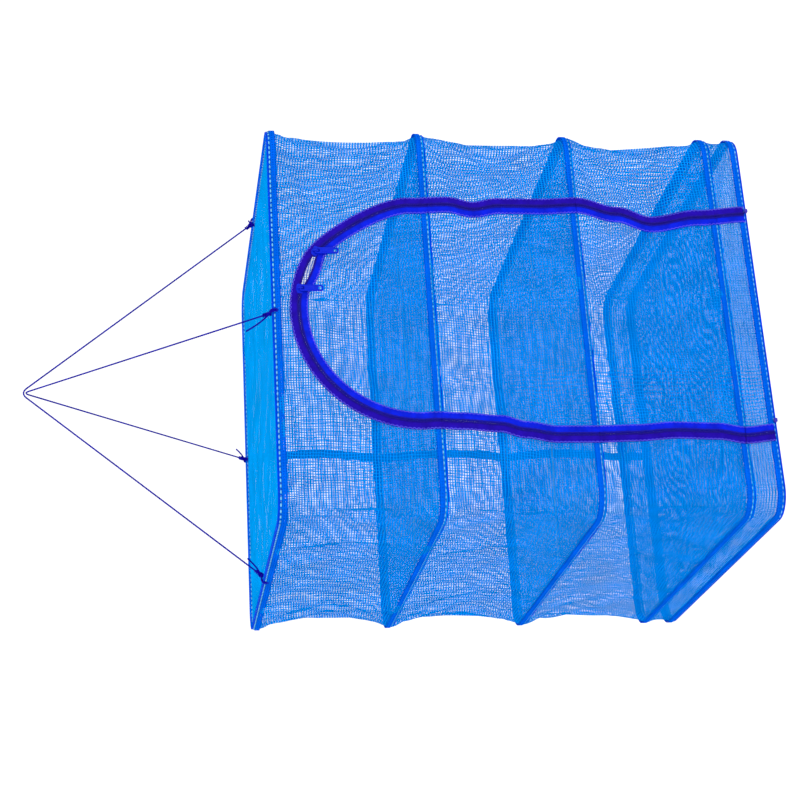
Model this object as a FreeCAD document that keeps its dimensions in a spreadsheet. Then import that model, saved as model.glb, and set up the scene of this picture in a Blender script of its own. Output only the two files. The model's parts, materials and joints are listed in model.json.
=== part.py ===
"""Hanging folding net cage: five sprung wire squares, net shelves and walls, a zipped door and a cord bridle.

Millimetres. The origin is the hanging point, where the two bridle cords cross. +Z is up, the door faces -Y
and +X is to the right of someone who faces the door.
"""

import FreeCAD, Part
import math
import os

V = FreeCAD.Vector

SIZES = {
    # frames
    "frame_side": 500,  # wire centreline to wire centreline
    "frame_corner": 28,  # bend radius of the wire's centreline
    "wire_diameter": 3,
    "wire_end_gap": 1,  # between the two ends of a wire, inside its ferrule
    "ferrule_diameter": 5,
    "ferrule_length": 22,
    "crimp_clearance": 0.05,
    "hem_diameter": 8,
    "hem_wall": 0.8,
    "hem_end_gap": 2,  # where the two ends of a hem meet
    # heights
    "hang_height": 292,  # hanging point to the top frame
    "tier_one": 188,
    "tier_two": 186,
    "tier_three": 178,
    "tier_four": 37,
    "fold_clearance": 0.5,  # between hems when the cage is folded
    # nets
    "net_thickness": 0.4,
    "sewing_gap": 0.3,  # between two layers that are sewn together
    "seam_tape_width": 12,
    "seam_tape_thickness": 0.6,
    "seam_tape_offset": 4,
    # door and zip
    "door_radius": 140,  # zip centreline round the arch, and half the width between the legs
    "door_drop": 28,  # top frame to the top of the arch
    "coil_gap": 1,  # zip centreline to each coil
    "coil_width": 1.6,
    "coil_height": 1.6,
    "tape_width": 8,
    "tape_thickness": 1,
    "tape_tail": 6,  # tape below the bottom frame
    "stop_length": 4,
    "stop_height": 3,
    "stop_clearance": 0.1,
    # sliders and tabs
    "slider_length": 12,
    "slider_width": 10.6,
    "slider_plate": 0.8,
    "slider_clearance": 0.2,
    "slider_post_width": 1.4,
    "slider_post_length": 3,
    "net_clearance": 0.3,  # slider to the edges of the nets beside it
    "right_slider_angle": 33,
    "middle_slider_angle": 11,
    "lug_width": 2.4,
    "lug_radius": 1.6,
    "pin_radius": 0.8,
    "pin_clearance": 0.05,
    "tab_length": 27,
    "tab_width": 8,
    "tab_thickness": 1.6,
    "tab_slot": 3.6,  # pin axis to the foot of the slot between the ears
    "tab_clearance": 0.2,
    "tab_hole_radius": 2.4,
    # bridle
    "hook_radius": 5,  # the hook that the cage hangs from
    "cord_diameter": 2.2,
    "cord_clearance": 0.3,
    "knot_radius": 3.4,
    "front_tail": 38,  # loose ends of the cords past their knots
    "back_tail": 19,
    "left_tail": 27,
    "right_tail": 7,
}
KNOT_SEAT = 0.6  # a knot's lump sits on its turn round the hem with this share of its radius
TIERS = ["tier_one", "tier_two", "tier_three", "tier_four"]
# for each side of the top frame: the way out from the middle, and the way the knot's loose tail points
SIDES = {
    "front": (V(0, -1, 0), V(-20, -3, 23)),
    "back": (V(0, 1, 0), V(11, 0, 8)),
    "left": (V(-1, 0, 0), V(14, -5, 12)),
    "right": (V(1, 0, 0), V(10, 0, 5)),
}

doc = FreeCAD.newDocument("NetCage")
sheet = doc.addObject("Spreadsheet::Sheet", "Sizes")
for row, (alias, value) in enumerate(SIZES.items(), start=1):
    sheet.set(f"A{row}", alias)
    sheet.set(f"B{row}", str(value))
    sheet.setAlias(f"B{row}", alias)
doc.recompute()

HALF = "Sizes.frame_side / 2"
HEM_RADIUS = "Sizes.hem_diameter / 2"
NET_INSIDE = f"({HALF} + {HEM_RADIUS} + Sizes.sewing_gap)"
NET_OUTSIDE = f"({NET_INSIDE} + Sizes.net_thickness)"
SLIDER_HALF = "(Sizes.coil_height / 2 + Sizes.slider_clearance + Sizes.slider_plate)"
ZIP_DEPTH = f"({HALF} + {HEM_RADIUS} + Sizes.sewing_gap + {SLIDER_HALF})"
ARCH_HEIGHT = "(Sizes.hang_height + Sizes.door_drop + Sizes.door_radius)"
COIL_EDGE = "(Sizes.coil_gap + Sizes.coil_width)"
SLOT_EDGE = "(Sizes.slider_width / 2 + Sizes.net_clearance)"
FRONT_FACE = f"({ZIP_DEPTH} + {SLIDER_HALF})"
PIN_DEPTH = f"({FRONT_FACE} + Sizes.lug_radius + 2 * Sizes.tab_clearance)"


def size(alias):
    """A driving dimension, as a number."""
    return float(sheet.get(alias))


def drop(frame):
    """How far frame 1 to 5 hangs below the hanging point, as an expression."""
    return "(" + " + ".join(["Sizes.hang_height"] + [f"Sizes.{tier}" for tier in TIERS[: frame - 1]]) + ")"


BOTTOM = drop(len(TIERS) + 1)
nodes = []


def name_node(thing, label):
    """Gives a finished sub-part the label that names its file."""
    thing.Label = label
    nodes.append(thing)
    return thing


def bind(thing, **expressions):
    """Ties properties to the sheet: a double underscore stands for a dot."""
    for path, expression in expressions.items():
        thing.setExpression(path.replace("__", "."), expression)
    return thing


def box(length, width, height, x="0", y="0", z="0"):
    """A box with its low corner at x, y, z."""
    made = doc.addObject("Part::Box", "Box")
    bind(made, Length=length, Width=width, Height=height)
    return bind(made, Placement__Base__x=x, Placement__Base__y=y, Placement__Base__z=z)


def cylinder(radius, length, axis, x="0", y="0", z="0"):
    """A cylinder along +X, -Y or +Z that starts at x, y, z."""
    made = doc.addObject("Part::Cylinder", "Cylinder")
    turns = {"X": (V(0, 1, 0), 90), "Y": (V(1, 0, 0), 90), "Z": (V(0, 0, 1), 0)}
    made.Placement.Rotation = FreeCAD.Rotation(*turns[axis])
    bind(made, Radius=radius, Height=length)
    return bind(made, Placement__Base__x=x, Placement__Base__y=y, Placement__Base__z=z)


def fuse(*shapes):
    made = doc.addObject("Part::MultiFuse", "Fuse")
    made.Shapes = list(shapes)
    made.Refine = True
    return made


def cut(base, tool):
    made = doc.addObject("Part::Cut", "Cut")
    made.Base = base
    made.Tool = tool
    return made


def sketch_in(body, name, plane):
    """A sketch on one of the body's own origin planes."""
    sketch = body.newObject("Sketcher::SketchObject", name)
    support = next(f for f in body.Origin.OriginFeatures if f.Role == plane)
    sketch.AttachmentSupport = [(support, "")]
    sketch.MapMode = "FlatFace"
    return sketch


def constrain(sketch, kind, *where, bound_to=None, label=None):
    """Adds one constraint, and ties it to the sheet if bound_to is given."""
    import Sketcher

    number = sketch.addConstraint(Sketcher.Constraint(kind, *where))
    if bound_to:
        sketch.renameConstraint(number, label)
        sketch.setExpression(f"Constraints.{label}", bound_to)


def rounded_square(sketch, half, corner, half_is, corner_is, gap=0, gap_is=None):
    """A square with round corners about the origin, closed, or open by gap in the middle of its back side."""
    reach = half - corner
    start = gap / 2
    ends = [(-start, half), (-reach, half), (-half, reach), (-half, -reach), (-reach, -half)]
    ends += [(reach, -half), (half, -reach), (half, reach), (reach, half)]
    ends.append((start, half))
    centres = [(-reach, reach), (-reach, -reach), (reach, -reach), (reach, reach)]
    first = sketch.GeometryCount
    lines, arcs = [], []
    if gap:
        sides = [(ends[0], ends[1])]
    else:
        sides = [(ends[8], ends[1])]
    sides += [(ends[2], ends[3]), (ends[4], ends[5]), (ends[6], ends[7])]
    for number, (a, b) in enumerate(sides):
        lines.append(sketch.addGeometry(Part.LineSegment(V(*a, 0), V(*b, 0))))
        circle = Part.Circle(V(*centres[number], 0), V(0, 0, 1), corner)
        turn = math.pi / 2 * (number + 1)
        arcs.append(sketch.addGeometry(Part.ArcOfCircle(circle, turn, turn + math.pi / 2)))
    if gap:
        lines.append(sketch.addGeometry(Part.LineSegment(V(*ends[8], 0), V(*ends[9], 0))))
    for number, arc in enumerate(arcs):
        after = lines[(number + 1) % len(lines)]
        constrain(sketch, "Tangent", lines[number], 2, arc, 1)
        constrain(sketch, "Tangent", arc, 2, after, 1)
    for line in lines:
        flat = line in (lines[0], lines[2], lines[-1] if gap else lines[0])
        constrain(sketch, "Horizontal" if flat else "Vertical", line)
    for arc in arcs[1:]:
        constrain(sketch, "Equal", arcs[0], arc)
    tag = f"loop{first}_"
    constrain(sketch, "Radius", arcs[0], corner, bound_to=corner_is, label=tag + "corner")
    constrain(sketch, "DistanceY", -1, 1, lines[0], 2, half, bound_to=half_is, label=tag + "back")
    constrain(sketch, "DistanceX", lines[1], 1, -1, 1, half, bound_to=half_is, label=tag + "left")
    constrain(sketch, "DistanceY", lines[2], 1, -1, 1, half, bound_to=half_is, label=tag + "front")
    constrain(sketch, "DistanceX", -1, 1, lines[3], 1, half, bound_to=half_is, label=tag + "right")
    if gap:
        share = f"({gap_is}) / 2"
        constrain(sketch, "DistanceX", lines[0], 1, -1, 1, start, bound_to=share, label=tag + "start")
        constrain(sketch, "DistanceX", -1, 1, lines[4], 2, start, bound_to=share, label=tag + "end")
        constrain(sketch, "DistanceY", -1, 1, lines[4], 1, half, bound_to=half_is, label=tag + "close")


def tube_square(label, frame, radii, gap):
    """A tube bent into a frame's square, with its two ends a gap apart at the middle of the back."""
    body = doc.addObject("PartDesign::Body", "Tube")
    path = sketch_in(body, "Path", "XY_Plane")
    rounded_square(
        path, size("frame_side") / 2, size("frame_corner"), HALF, "Sizes.frame_corner", size(gap), f"Sizes.{gap}"
    )
    section = sketch_in(body, "Section", "YZ_Plane")
    section.setExpression("AttachmentOffset.Base.z", f"-Sizes.{gap} / 2")
    for number, (radius, radius_is) in enumerate(radii):
        centre = V(size("frame_side") / 2, 0, 0)
        ring = section.addGeometry(Part.Circle(centre, V(0, 0, 1), radius))
        constrain(section, "Radius", ring, radius, bound_to=radius_is, label=f"radius{number}")
        constrain(section, "DistanceX", -1, 1, ring, 3, centre.x, bound_to=HALF, label=f"centre{number}")
        constrain(section, "PointOnObject", ring, 3, -1)
    doc.recompute()
    pipe = body.newObject("PartDesign::AdditivePipe", "Pipe")
    pipe.Profile = section
    pipe.Spine = path
    body.Tip = pipe
    bind(body, Placement__Base__z="-" + drop(frame))
    return name_node(body, label)


def frame_wire(frame):
    radius = size("wire_diameter") / 2
    tube_square(f"frame_wire_{frame}", frame, [(radius, "Sizes.wire_diameter / 2")], "wire_end_gap")


def hem(frame):
    """The strip folded and sewn round a wire."""
    outer = size("hem_diameter") / 2
    inner = outer - size("hem_wall")
    radii = [(outer, HEM_RADIUS), (inner, f"{HEM_RADIUS} - Sizes.hem_wall")]
    tube_square(f"frame_hem_{frame}", frame, radii, "hem_end_gap")


def ferrule(frame):
    """The crimped sleeve that joins a wire's two ends."""
    start = "-Sizes.ferrule_length / 2"
    place = {"x": start, "y": HALF, "z": "-" + drop(frame)}
    outside = cylinder("Sizes.ferrule_diameter / 2", "Sizes.ferrule_length", "X", **place)
    bore = cylinder("Sizes.wire_diameter / 2 + Sizes.crimp_clearance", "Sizes.ferrule_length", "X", **place)
    name_node(cut(outside, bore), f"wire_ferrule_{frame}")


def net_panel(label, frame):
    """A square of net that fills a frame inside its hem."""
    body = doc.addObject("PartDesign::Body", "Panel")
    outline = sketch_in(body, "Outline", "XY_Plane")
    inset = size("hem_diameter") / 2
    half = size("frame_side") / 2 - inset
    corner = size("frame_corner") - inset
    rounded_square(outline, half, corner, f"{HALF} - {HEM_RADIUS}", f"Sizes.frame_corner - {HEM_RADIUS}")
    pad = body.newObject("PartDesign::Pad", "Pad")
    pad.Profile = outline
    pad.SideType = "Symmetric"
    bind(pad, Length="Sizes.net_thickness")
    body.Tip = pad
    bind(body, Placement__Base__z="-" + drop(frame))
    name_node(body, label)


def door_shape(growth, depth, thickness, foot=BOTTOM):
    """The door's arch and legs, grown by growth past the zip's centreline, from depth forwards by thickness."""
    radius = f"Sizes.door_radius + {growth}"
    arch = cylinder(radius, thickness, "Y", y="-" + depth, z="-" + ARCH_HEIGHT)
    front = f"-({depth} + {thickness})"
    legs = box(f"2 * ({radius})", thickness, f"{foot} - {ARCH_HEIGHT}", x=f"-({radius})", y=front, z=f"-({foot})")
    return fuse(arch, legs)


def wall_net(tier):
    """The net round one tier, from one frame to the next, open where the door is."""
    body = doc.addObject("PartDesign::Body", "Wall")
    outline = sketch_in(body, "Outline", "XY_Plane")
    inner = size("frame_side") / 2 + size("hem_diameter") / 2 + size("sewing_gap")
    for layer, layer_is in ((0, NET_INSIDE), (size("net_thickness"), NET_OUTSIDE)):
        half = inner + layer
        corner = size("frame_corner") + half - size("frame_side") / 2
        rounded_square(outline, half, corner, layer_is, f"Sizes.frame_corner + {layer_is} - {HALF}")
    pad = body.newObject("PartDesign::Pad", "Pad")
    pad.Profile = outline
    bind(pad, Length=f"Sizes.{TIERS[tier - 1]}")
    body.Tip = pad
    bind(body, Placement__Base__z="-" + drop(tier + 1))
    through = door_shape(SLOT_EDGE, f"({HALF})", f"({HEM_RADIUS} + 2 * (Sizes.sewing_gap + Sizes.net_thickness))")
    name_node(cut(body, through), f"wall_net_{tier}")


def zip_band(label, outer, inner, height, foot=BOTTOM):
    """A strip along the zip, between two distances from the door's centreline."""
    back = f"({ZIP_DEPTH} - {height} / 2)"
    name_node(cut(door_shape(outer, back, height, foot), door_shape(inner, back, height, foot)), label)


def zip_halves():
    """The two tapes and the two coils, on the wall's side and on the door's side."""
    tape_edge = f"({COIL_EDGE} + Sizes.tape_width)"
    tape_foot = f"({BOTTOM} + Sizes.tape_tail)"
    zip_band("zip_tape_wall", tape_edge, COIL_EDGE, "Sizes.tape_thickness", tape_foot)
    zip_band("zip_coil_wall", COIL_EDGE, "Sizes.coil_gap", "Sizes.coil_height")
    zip_band("zip_tape_door", f"-{COIL_EDGE}", f"-{tape_edge}", "Sizes.tape_thickness")
    zip_band("zip_coil_door", "-Sizes.coil_gap", f"-{COIL_EDGE}", "Sizes.coil_height")


def door_net():
    """The net flap inside the zip."""
    name_node(door_shape(f"-{SLOT_EDGE}", NET_INSIDE, "Sizes.net_thickness"), "door_net")


def zip_stop(label, side):
    """The stop at the foot of one leg of the zip."""
    half = f"({COIL_EDGE} - Sizes.stop_clearance)"
    name_node(
        box(
            f"2 * {half}",
            "Sizes.stop_height",
            "Sizes.stop_length",
            x=f"{side} * Sizes.door_radius - {half}",
            y=f"-({ZIP_DEPTH} + Sizes.stop_height / 2)",
            z=f"-({BOTTOM} + Sizes.stop_length)",
        ),
        label,
    )


def zip_slider(label, angle):
    """A slider on the arch: two plates and the post between the coils, with a lug in front for its pull tab."""
    plates = []
    back_faces = (f"-({ZIP_DEPTH} - {SLIDER_HALF} + Sizes.slider_plate)", "-" + FRONT_FACE)
    for face in back_faces:
        low = "Sizes.door_radius - Sizes.slider_width / 2"
        plates.append(
            box("Sizes.slider_length", "Sizes.slider_plate", "Sizes.slider_width", "-Sizes.slider_length / 2", face, low)
        )
    post = box(
        "Sizes.slider_post_length",
        f"2 * {SLIDER_HALF}",
        "Sizes.slider_post_width",
        "-Sizes.slider_post_length / 2",
        "-" + FRONT_FACE,
        "Sizes.door_radius - Sizes.slider_post_width / 2",
    )
    turned = fuse(*plates, post)
    turned.Placement.Rotation = FreeCAD.Rotation(V(0, 1, 0), size(angle))
    bind(turned, Placement__Rotation__Angle=f"Sizes.{angle}", Placement__Base__z="-" + ARCH_HEIGHT)
    x, z = on_arch(angle)
    arm = box(
        "Sizes.lug_width",
        f"{PIN_DEPTH} - {FRONT_FACE}",
        "2 * Sizes.lug_radius",
        f"{x} - Sizes.lug_width / 2",
        "-" + PIN_DEPTH,
        f"{z} - Sizes.lug_radius",
    )
    nose = cylinder("Sizes.lug_radius", "Sizes.lug_width", "X", f"{x} - Sizes.lug_width / 2", "-" + PIN_DEPTH, z)
    bore = cylinder(
        "Sizes.pin_radius + Sizes.pin_clearance",
        "Sizes.lug_width",
        "X",
        f"{x} - Sizes.lug_width / 2",
        "-" + PIN_DEPTH,
        z,
    )
    name_node(cut(fuse(turned, arm, nose), bore), label)


def on_arch(angle):
    """Where the zip's centreline lies, at an angle to the right of the arch's top."""
    x = f"(Sizes.door_radius * sin(Sizes.{angle}))"
    z = f"(Sizes.door_radius * cos(Sizes.{angle}) - {ARCH_HEIGHT})"
    return x, z


def pull_tab(label, angle):
    """A pull tab that hangs from its slider's lug on a pin of its own, with a round hole in its foot."""
    x, z = on_arch(angle)
    back = f"-({PIN_DEPTH} + Sizes.tab_thickness / 2)"
    ear_start = "(Sizes.lug_width / 2 + Sizes.tab_clearance)"
    ear_width = f"(Sizes.tab_width / 2 - {ear_start})"
    foot = f"({z} - Sizes.tab_length)"
    plate_height = "Sizes.tab_length - Sizes.tab_slot"
    parts = [
        box("Sizes.tab_width", "Sizes.tab_thickness", plate_height, f"{x} - Sizes.tab_width / 2", back, foot),
        cylinder("Sizes.pin_radius", "Sizes.tab_width", "X", f"{x} - Sizes.tab_width / 2", "-" + PIN_DEPTH, z),
    ]
    for start in (f"{x} - Sizes.tab_width / 2", f"{x} + {ear_start}"):
        ear_height = "Sizes.tab_slot + Sizes.lug_radius"
        parts.append(box(ear_width, "Sizes.tab_thickness", ear_height, start, back, f"{z} - Sizes.tab_slot"))
    hole = cylinder(
        "Sizes.tab_hole_radius",
        "Sizes.tab_thickness",
        "Y",
        x,
        f"-({PIN_DEPTH} - Sizes.tab_thickness / 2)",
        f"{foot} + Sizes.tab_width / 2",
    )
    name_node(cut(fuse(*parts), hole), label)


def back_seam():
    """The tape over the seam where the wall's two ends meet, up the middle of the back."""
    left = "Sizes.seam_tape_offset - Sizes.seam_tape_width / 2"
    height = f"{BOTTOM} - Sizes.hang_height"
    back = f"{NET_OUTSIDE} + Sizes.sewing_gap"
    tape = box("Sizes.seam_tape_width", "Sizes.seam_tape_thickness", height, left, back, "-" + BOTTOM)
    name_node(tape, "back_seam_tape")


def solid(label, shape):
    """A sub-part whose shape is worked out below from the sheet's sizes."""
    made = doc.addObject("Part::Feature", label)
    made.Shape = shape
    return name_node(made, label)


def knot_place(side):
    """Centre of a knot's lump on the way to the hanging point, the hem's centre and the wrap's radius there."""
    edge = side * (size("frame_side") / 2)
    edge.z = -size("hang_height")
    way = (-edge).normalize()
    wrap = size("hem_diameter") / 2 + size("cord_clearance") + size("cord_diameter") / 2
    return edge + way * (wrap + size("knot_radius") * KNOT_SEAT), edge, wrap


def bridle_cord(label, side, bend):
    """A taut cord from one knot over the hook to the opposite knot: two straight runs and one arc."""
    knot = knot_place(side)[0]
    far = V(-knot.x, -knot.y, knot.z)
    distance = knot.Length
    lift = math.acos(bend / distance)
    toward = math.atan2(knot.z, math.hypot(knot.x, knot.y))
    touch = side * (bend * math.cos(toward + lift)) + V(0, 0, bend * math.sin(toward + lift))
    touch_far = V(-touch.x, -touch.y, touch.z)
    edges = [
        Part.LineSegment(knot, touch).toShape(),
        Part.Arc(touch, V(0, 0, bend), touch_far).toShape(),
        Part.LineSegment(touch_far, far).toShape(),
    ]
    path = Part.Wire(edges)
    radius = size("cord_diameter") / 2
    section = Part.Wire(Part.makeCircle(radius, knot, touch - knot))
    made = path.makePipeShell([section], True, False)
    solid(label, made)
    share = made.Volume / (math.pi * radius**2 * path.Length)
    print(f"{label}: length {path.Length:.1f}, bend radius {bend:.1f}, volume over section x length {share:.4f}")


def bridle_knot(place):
    """A knot: the cord's turn round the hem, its lump and its loose tail."""
    side, tail_way = SIDES[place]
    centre, edge, wrap = knot_place(side)
    turn = Part.makeTorus(wrap, size("cord_diameter") / 2, edge, V(0, 0, 1).cross(side))
    lump = Part.makeSphere(size("knot_radius"), centre)
    tail = Part.makeCylinder(size("cord_diameter") / 2, size(f"{place}_tail"), centre, tail_way)
    solid(f"bridle_knot_{place}", turn.fuse([lump, tail]))


for number in range(1, len(TIERS) + 2):
    frame_wire(number)
    ferrule(number)
    hem(number)
net_panel("top_net", 1)
for number in range(2, len(TIERS) + 1):
    net_panel(f"shelf_net_{number}", number)
net_panel("bottom_net", len(TIERS) + 1)
for number in range(1, len(TIERS) + 1):
    wall_net(number)
back_seam()
door_net()
zip_halves()
zip_stop("zip_stop_right", 1)
zip_stop("zip_stop_left", -1)
zip_slider("zip_slider_right", "right_slider_angle")
zip_slider("zip_slider_middle", "middle_slider_angle")
pull_tab("pull_tab_right", "right_slider_angle")
pull_tab("pull_tab_middle", "middle_slider_angle")
inner_bend = size("hook_radius") + size("cord_diameter") / 2
outer_bend = inner_bend + size("cord_diameter") + size("cord_clearance")
bridle_cord("bridle_cord_front_back", SIDES["front"][0], inner_bend)
bridle_cord("bridle_cord_left_right", SIDES["right"][0], outer_bend)
for place in SIDES:
    bridle_knot(place)

doc.recompute()
for thing in doc.Objects:
    bad = {"Invalid", "Error"} & set(thing.State)
    if bad:
        raise RuntimeError(f"{thing.Label} ({thing.Name}): {sorted(bad)}")
os.makedirs("parts", exist_ok=True)
for node in nodes:
    shape = node.Shape
    if shape.isNull() or not shape.isValid() or not shape.Solids:
        raise RuntimeError(f"{node.Label} has no valid solid")
    shape.exportStep(f"parts/{node.Label}.step")

knot_room = size("cord_clearance") + size("cord_diameter")
fallen = 0
stacked = knot_room
for number, tier in enumerate(TIERS, start=2):
    fallen += size(tier)
    stacked += size("hem_diameter") + size("fold_clearance")
    print(f"frame {number} rises {fallen - stacked:.1f} when the cage is folded")
print(f"{len(nodes)} nodes written")
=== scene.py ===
"""Looks of a hanging folding net cage, built round its CAD frame.

The frame gives every place. Metres, +Z up, origin at the hanging point, the zipped door facing -Y.
"""

import json
import math

import bpy
import numpy as np
from mathutils import Matrix, Vector


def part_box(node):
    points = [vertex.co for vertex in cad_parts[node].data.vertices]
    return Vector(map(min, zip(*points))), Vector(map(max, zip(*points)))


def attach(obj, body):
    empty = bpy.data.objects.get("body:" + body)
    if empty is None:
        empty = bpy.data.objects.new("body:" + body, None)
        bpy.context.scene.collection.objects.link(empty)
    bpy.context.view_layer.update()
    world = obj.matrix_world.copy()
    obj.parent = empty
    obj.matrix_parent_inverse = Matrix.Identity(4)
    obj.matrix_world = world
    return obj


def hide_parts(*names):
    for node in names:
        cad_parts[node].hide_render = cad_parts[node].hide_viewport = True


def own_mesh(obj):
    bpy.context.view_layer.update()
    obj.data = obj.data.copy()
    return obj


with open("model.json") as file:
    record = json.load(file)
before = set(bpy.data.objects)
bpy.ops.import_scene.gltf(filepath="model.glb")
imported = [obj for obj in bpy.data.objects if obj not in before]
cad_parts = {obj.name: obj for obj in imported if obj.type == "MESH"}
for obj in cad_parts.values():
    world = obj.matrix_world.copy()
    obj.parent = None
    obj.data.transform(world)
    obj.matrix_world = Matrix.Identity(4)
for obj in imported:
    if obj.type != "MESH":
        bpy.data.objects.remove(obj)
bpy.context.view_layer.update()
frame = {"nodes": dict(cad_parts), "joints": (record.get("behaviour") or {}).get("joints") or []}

bl_info = {
    "name": "Hanging Net Cage",
    "version": (1, 0, 0),
    "blender": (4, 5, 0),
    "location": "View3D > Sidebar > Net Cage",
    "description": "Builds the nets, hems, zip and bridle of a hanging folding net cage",
    "category": "Add Mesh",
}

# ---------------------------------------------------------------- places that come from the frame

TIERS = (1, 2, 3, 4)
FRAMES = (1, 2, 3, 4, 5)
BODY_OF_FRAME = dict(zip(FRAMES, ("top_frame", "second_frame", "third_frame", "fourth_frame", "bottom_frame")))


def middle(node):
    low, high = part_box(node)
    return (low + high) / 2


def reach(node, axis):
    """Half of a node's size along an axis."""
    low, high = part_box(node)
    return (high[axis] - low[axis]) / 2


WIRE_RADIUS = reach("frame_wire_1", 2)
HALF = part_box("frame_wire_1")[1].x - WIRE_RADIUS  # middle of the cage to the wire's centreline
HEM_RADIUS = reach("frame_hem_1", 2)
CORNER = 0.028  # bend radius of the wire's centreline at the frames' corners
LEVEL = {n: middle(f"frame_wire_{n}").z for n in FRAMES}
NET_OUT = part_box("wall_net_1")[1].x  # middle of the cage to the outside of its nets
ZIP_Y = middle("zip_tape_wall").y
DOOR_RADIUS = (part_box("zip_coil_wall")[1].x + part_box("zip_tape_door")[1].x) / 2
ARCH_Z = (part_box("zip_coil_wall")[1].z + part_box("zip_tape_door")[1].z) / 2 - DOOR_RADIUS
TAPE_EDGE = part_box("zip_tape_wall")[1].x - DOOR_RADIUS  # the zip's centreline to its band's edge
JOINT = {j["name"]: j for j in frame["joints"]}
SLIDERS = ("right", "middle")


def slider_angle(which):
    """How far to the right of the arch's top a slider stands, in radians."""
    pin = JOINT[f"lift_{which}_tab"]["pos_m"]
    return math.atan2(pin[0], pin[2] - ARCH_Z)


# ---------------------------------------------------------------- settings a user would change


class NetCageNets(bpy.types.PropertyGroup):
    pitch: bpy.props.FloatProperty(
        name="Mesh pitch", description="From one thread of the net to the next", default=0.0034, unit="LENGTH"
    )
    thread: bpy.props.FloatProperty(
        name="Thread share", description="Share of the pitch that a thread covers", default=0.24, subtype="FACTOR"
    )
    thickness: bpy.props.FloatProperty(
        name="Net thickness", description="Thickness of the knitted net", default=0.0003, unit="LENGTH"
    )
    cell: bpy.props.FloatProperty(
        name="Cloth cell", description="Size of one cell of the draped cloth", default=0.0075, unit="LENGTH"
    )
    slack: bpy.props.FloatProperty(
        name="Wall slack", description="Spare share of the wall nets between frames", default=0.03, subtype="FACTOR"
    )
    # Painted glow: emission in the threads' own colour, as bright in shade as in light, standing in for light let
    # through the thin threads.
    painted_glow: bpy.props.FloatProperty(
        name="Glow", description="Light that the thin threads let through", default=0.22, subtype="FACTOR"
    )
    waist: bpy.props.FloatProperty(
        name="Waist", description="How far the walls' corners pull in between frames", default=0.013, unit="LENGTH"
    )
    colour: bpy.props.FloatVectorProperty(
        name="Net colour", description="Colour of the threads", default=(0.0, 0.2, 0.66), subtype="COLOR", size=3
    )


class NetCageHems(bpy.types.PropertyGroup):
    fin: bpy.props.FloatProperty(
        name="Seam allowance", description="Width of the hem beside the wire", default=0.0034, unit="LENGTH"
    )
    # The pale dashes are painted highlight: pale beads that stand in for the glossy wire's highlight seen through the
    # hem net.
    dash: bpy.props.FloatProperty(
        name="Dash length", description="Length of one pale dash", default=0.0042, unit="LENGTH"
    )
    dash_pitch: bpy.props.FloatProperty(
        name="Dash pitch", description="From one dash to the next", default=0.0066, unit="LENGTH"
    )
    # Darker than the walls' net: the doubled net is darker, and the rest is painted shade, the darkening where the
    # nets overlap round the wire.
    colour: bpy.props.FloatVectorProperty(
        name="Hem colour", description="Colour of the doubled net", default=(0.0, 0.09, 0.6), subtype="COLOR", size=3
    )


class NetCageZip(bpy.types.PropertyGroup):
    tooth_pitch: bpy.props.FloatProperty(
        name="Tooth pitch", description="From one coil turn to the next", default=0.0015, unit="LENGTH"
    )
    stitch_pitch: bpy.props.FloatProperty(
        name="Edge stitch pitch", description="Between two edge stitches", default=0.0048, unit="LENGTH"
    )
    opening: bpy.props.FloatProperty(
        name="Opening", description="Gap of the zip between its two sliders", default=0.006, unit="LENGTH"
    )
    colour: bpy.props.FloatVectorProperty(
        name="Wall tape colour",
        description="Colour of the tape on the walls",
        default=(0.014, 0.003, 0.3),
        subtype="COLOR",
        size=3,
    )
    door_colour: bpy.props.FloatVectorProperty(
        name="Door tape colour",
        description="Colour of the tape on the door",
        default=(0.003, 0.012, 0.55),
        subtype="COLOR",
        size=3,
    )


class NetCageCords(bpy.types.PropertyGroup):
    diameter: bpy.props.FloatProperty(
        name="Cord diameter", description="Diameter of the twisted cord", default=0.0022, unit="LENGTH"
    )
    lay: bpy.props.FloatProperty(
        name="Lay length", description="Length of one full twist", default=0.009, unit="LENGTH"
    )
    colour: bpy.props.FloatVectorProperty(
        name="Cord colour", description="Colour of the cord", default=(0.006, 0.002, 0.3), subtype="COLOR", size=3
    )


class NetCageStage(bpy.types.PropertyGroup):
    lens: bpy.props.FloatProperty(
        name="Lens", description="Focal length on a 36 mm sensor", default=82.2, unit="CAMERA"
    )
    floor_drop: bpy.props.FloatProperty(
        name="Floor", description="Floor below the bottom frame", default=0.75, unit="LENGTH"
    )
    light: bpy.props.FloatProperty(
        name="Light", description="Strength of the all-round studio light", default=1.12
    )


def settings(name):
    return getattr(bpy.context.scene, f"net_cage_{name}")


# ---------------------------------------------------------------- small modelling helpers


def deselect():
    for ob in bpy.context.selected_objects:
        ob.select_set(False)


def only(ob):
    """Makes ob the one selected and active object."""
    deselect()
    ob.select_set(True)
    bpy.context.view_layer.objects.active = ob
    return ob


def apply_modifier(ob, kind, **values):
    only(ob)
    modifier = ob.modifiers.new(kind.title(), kind)
    for key, value in values.items():
        setattr(modifier, key, value)
    bpy.ops.object.modifier_apply(modifier=modifier.name)
    return ob


def edit_all(ob):
    """Opens ob for editing with all of it selected."""
    only(ob)
    bpy.ops.object.mode_set(mode="EDIT")
    bpy.ops.mesh.select_all(action="SELECT")


def edit_some(ob, kind, wanted):
    """Opens ob for editing with only its wanted vertices, edges or faces selected."""
    only(ob)
    bpy.ops.object.mode_set(mode="EDIT")
    bpy.ops.mesh.select_mode(type=kind)
    bpy.ops.mesh.select_all(action="DESELECT")
    bpy.ops.object.mode_set(mode="OBJECT")
    parts = {"VERT": ob.data.vertices, "EDGE": ob.data.edges, "FACE": ob.data.polygons}[kind]
    for part in parts:
        part.select = wanted(part)
    bpy.ops.object.mode_set(mode="EDIT")


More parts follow.
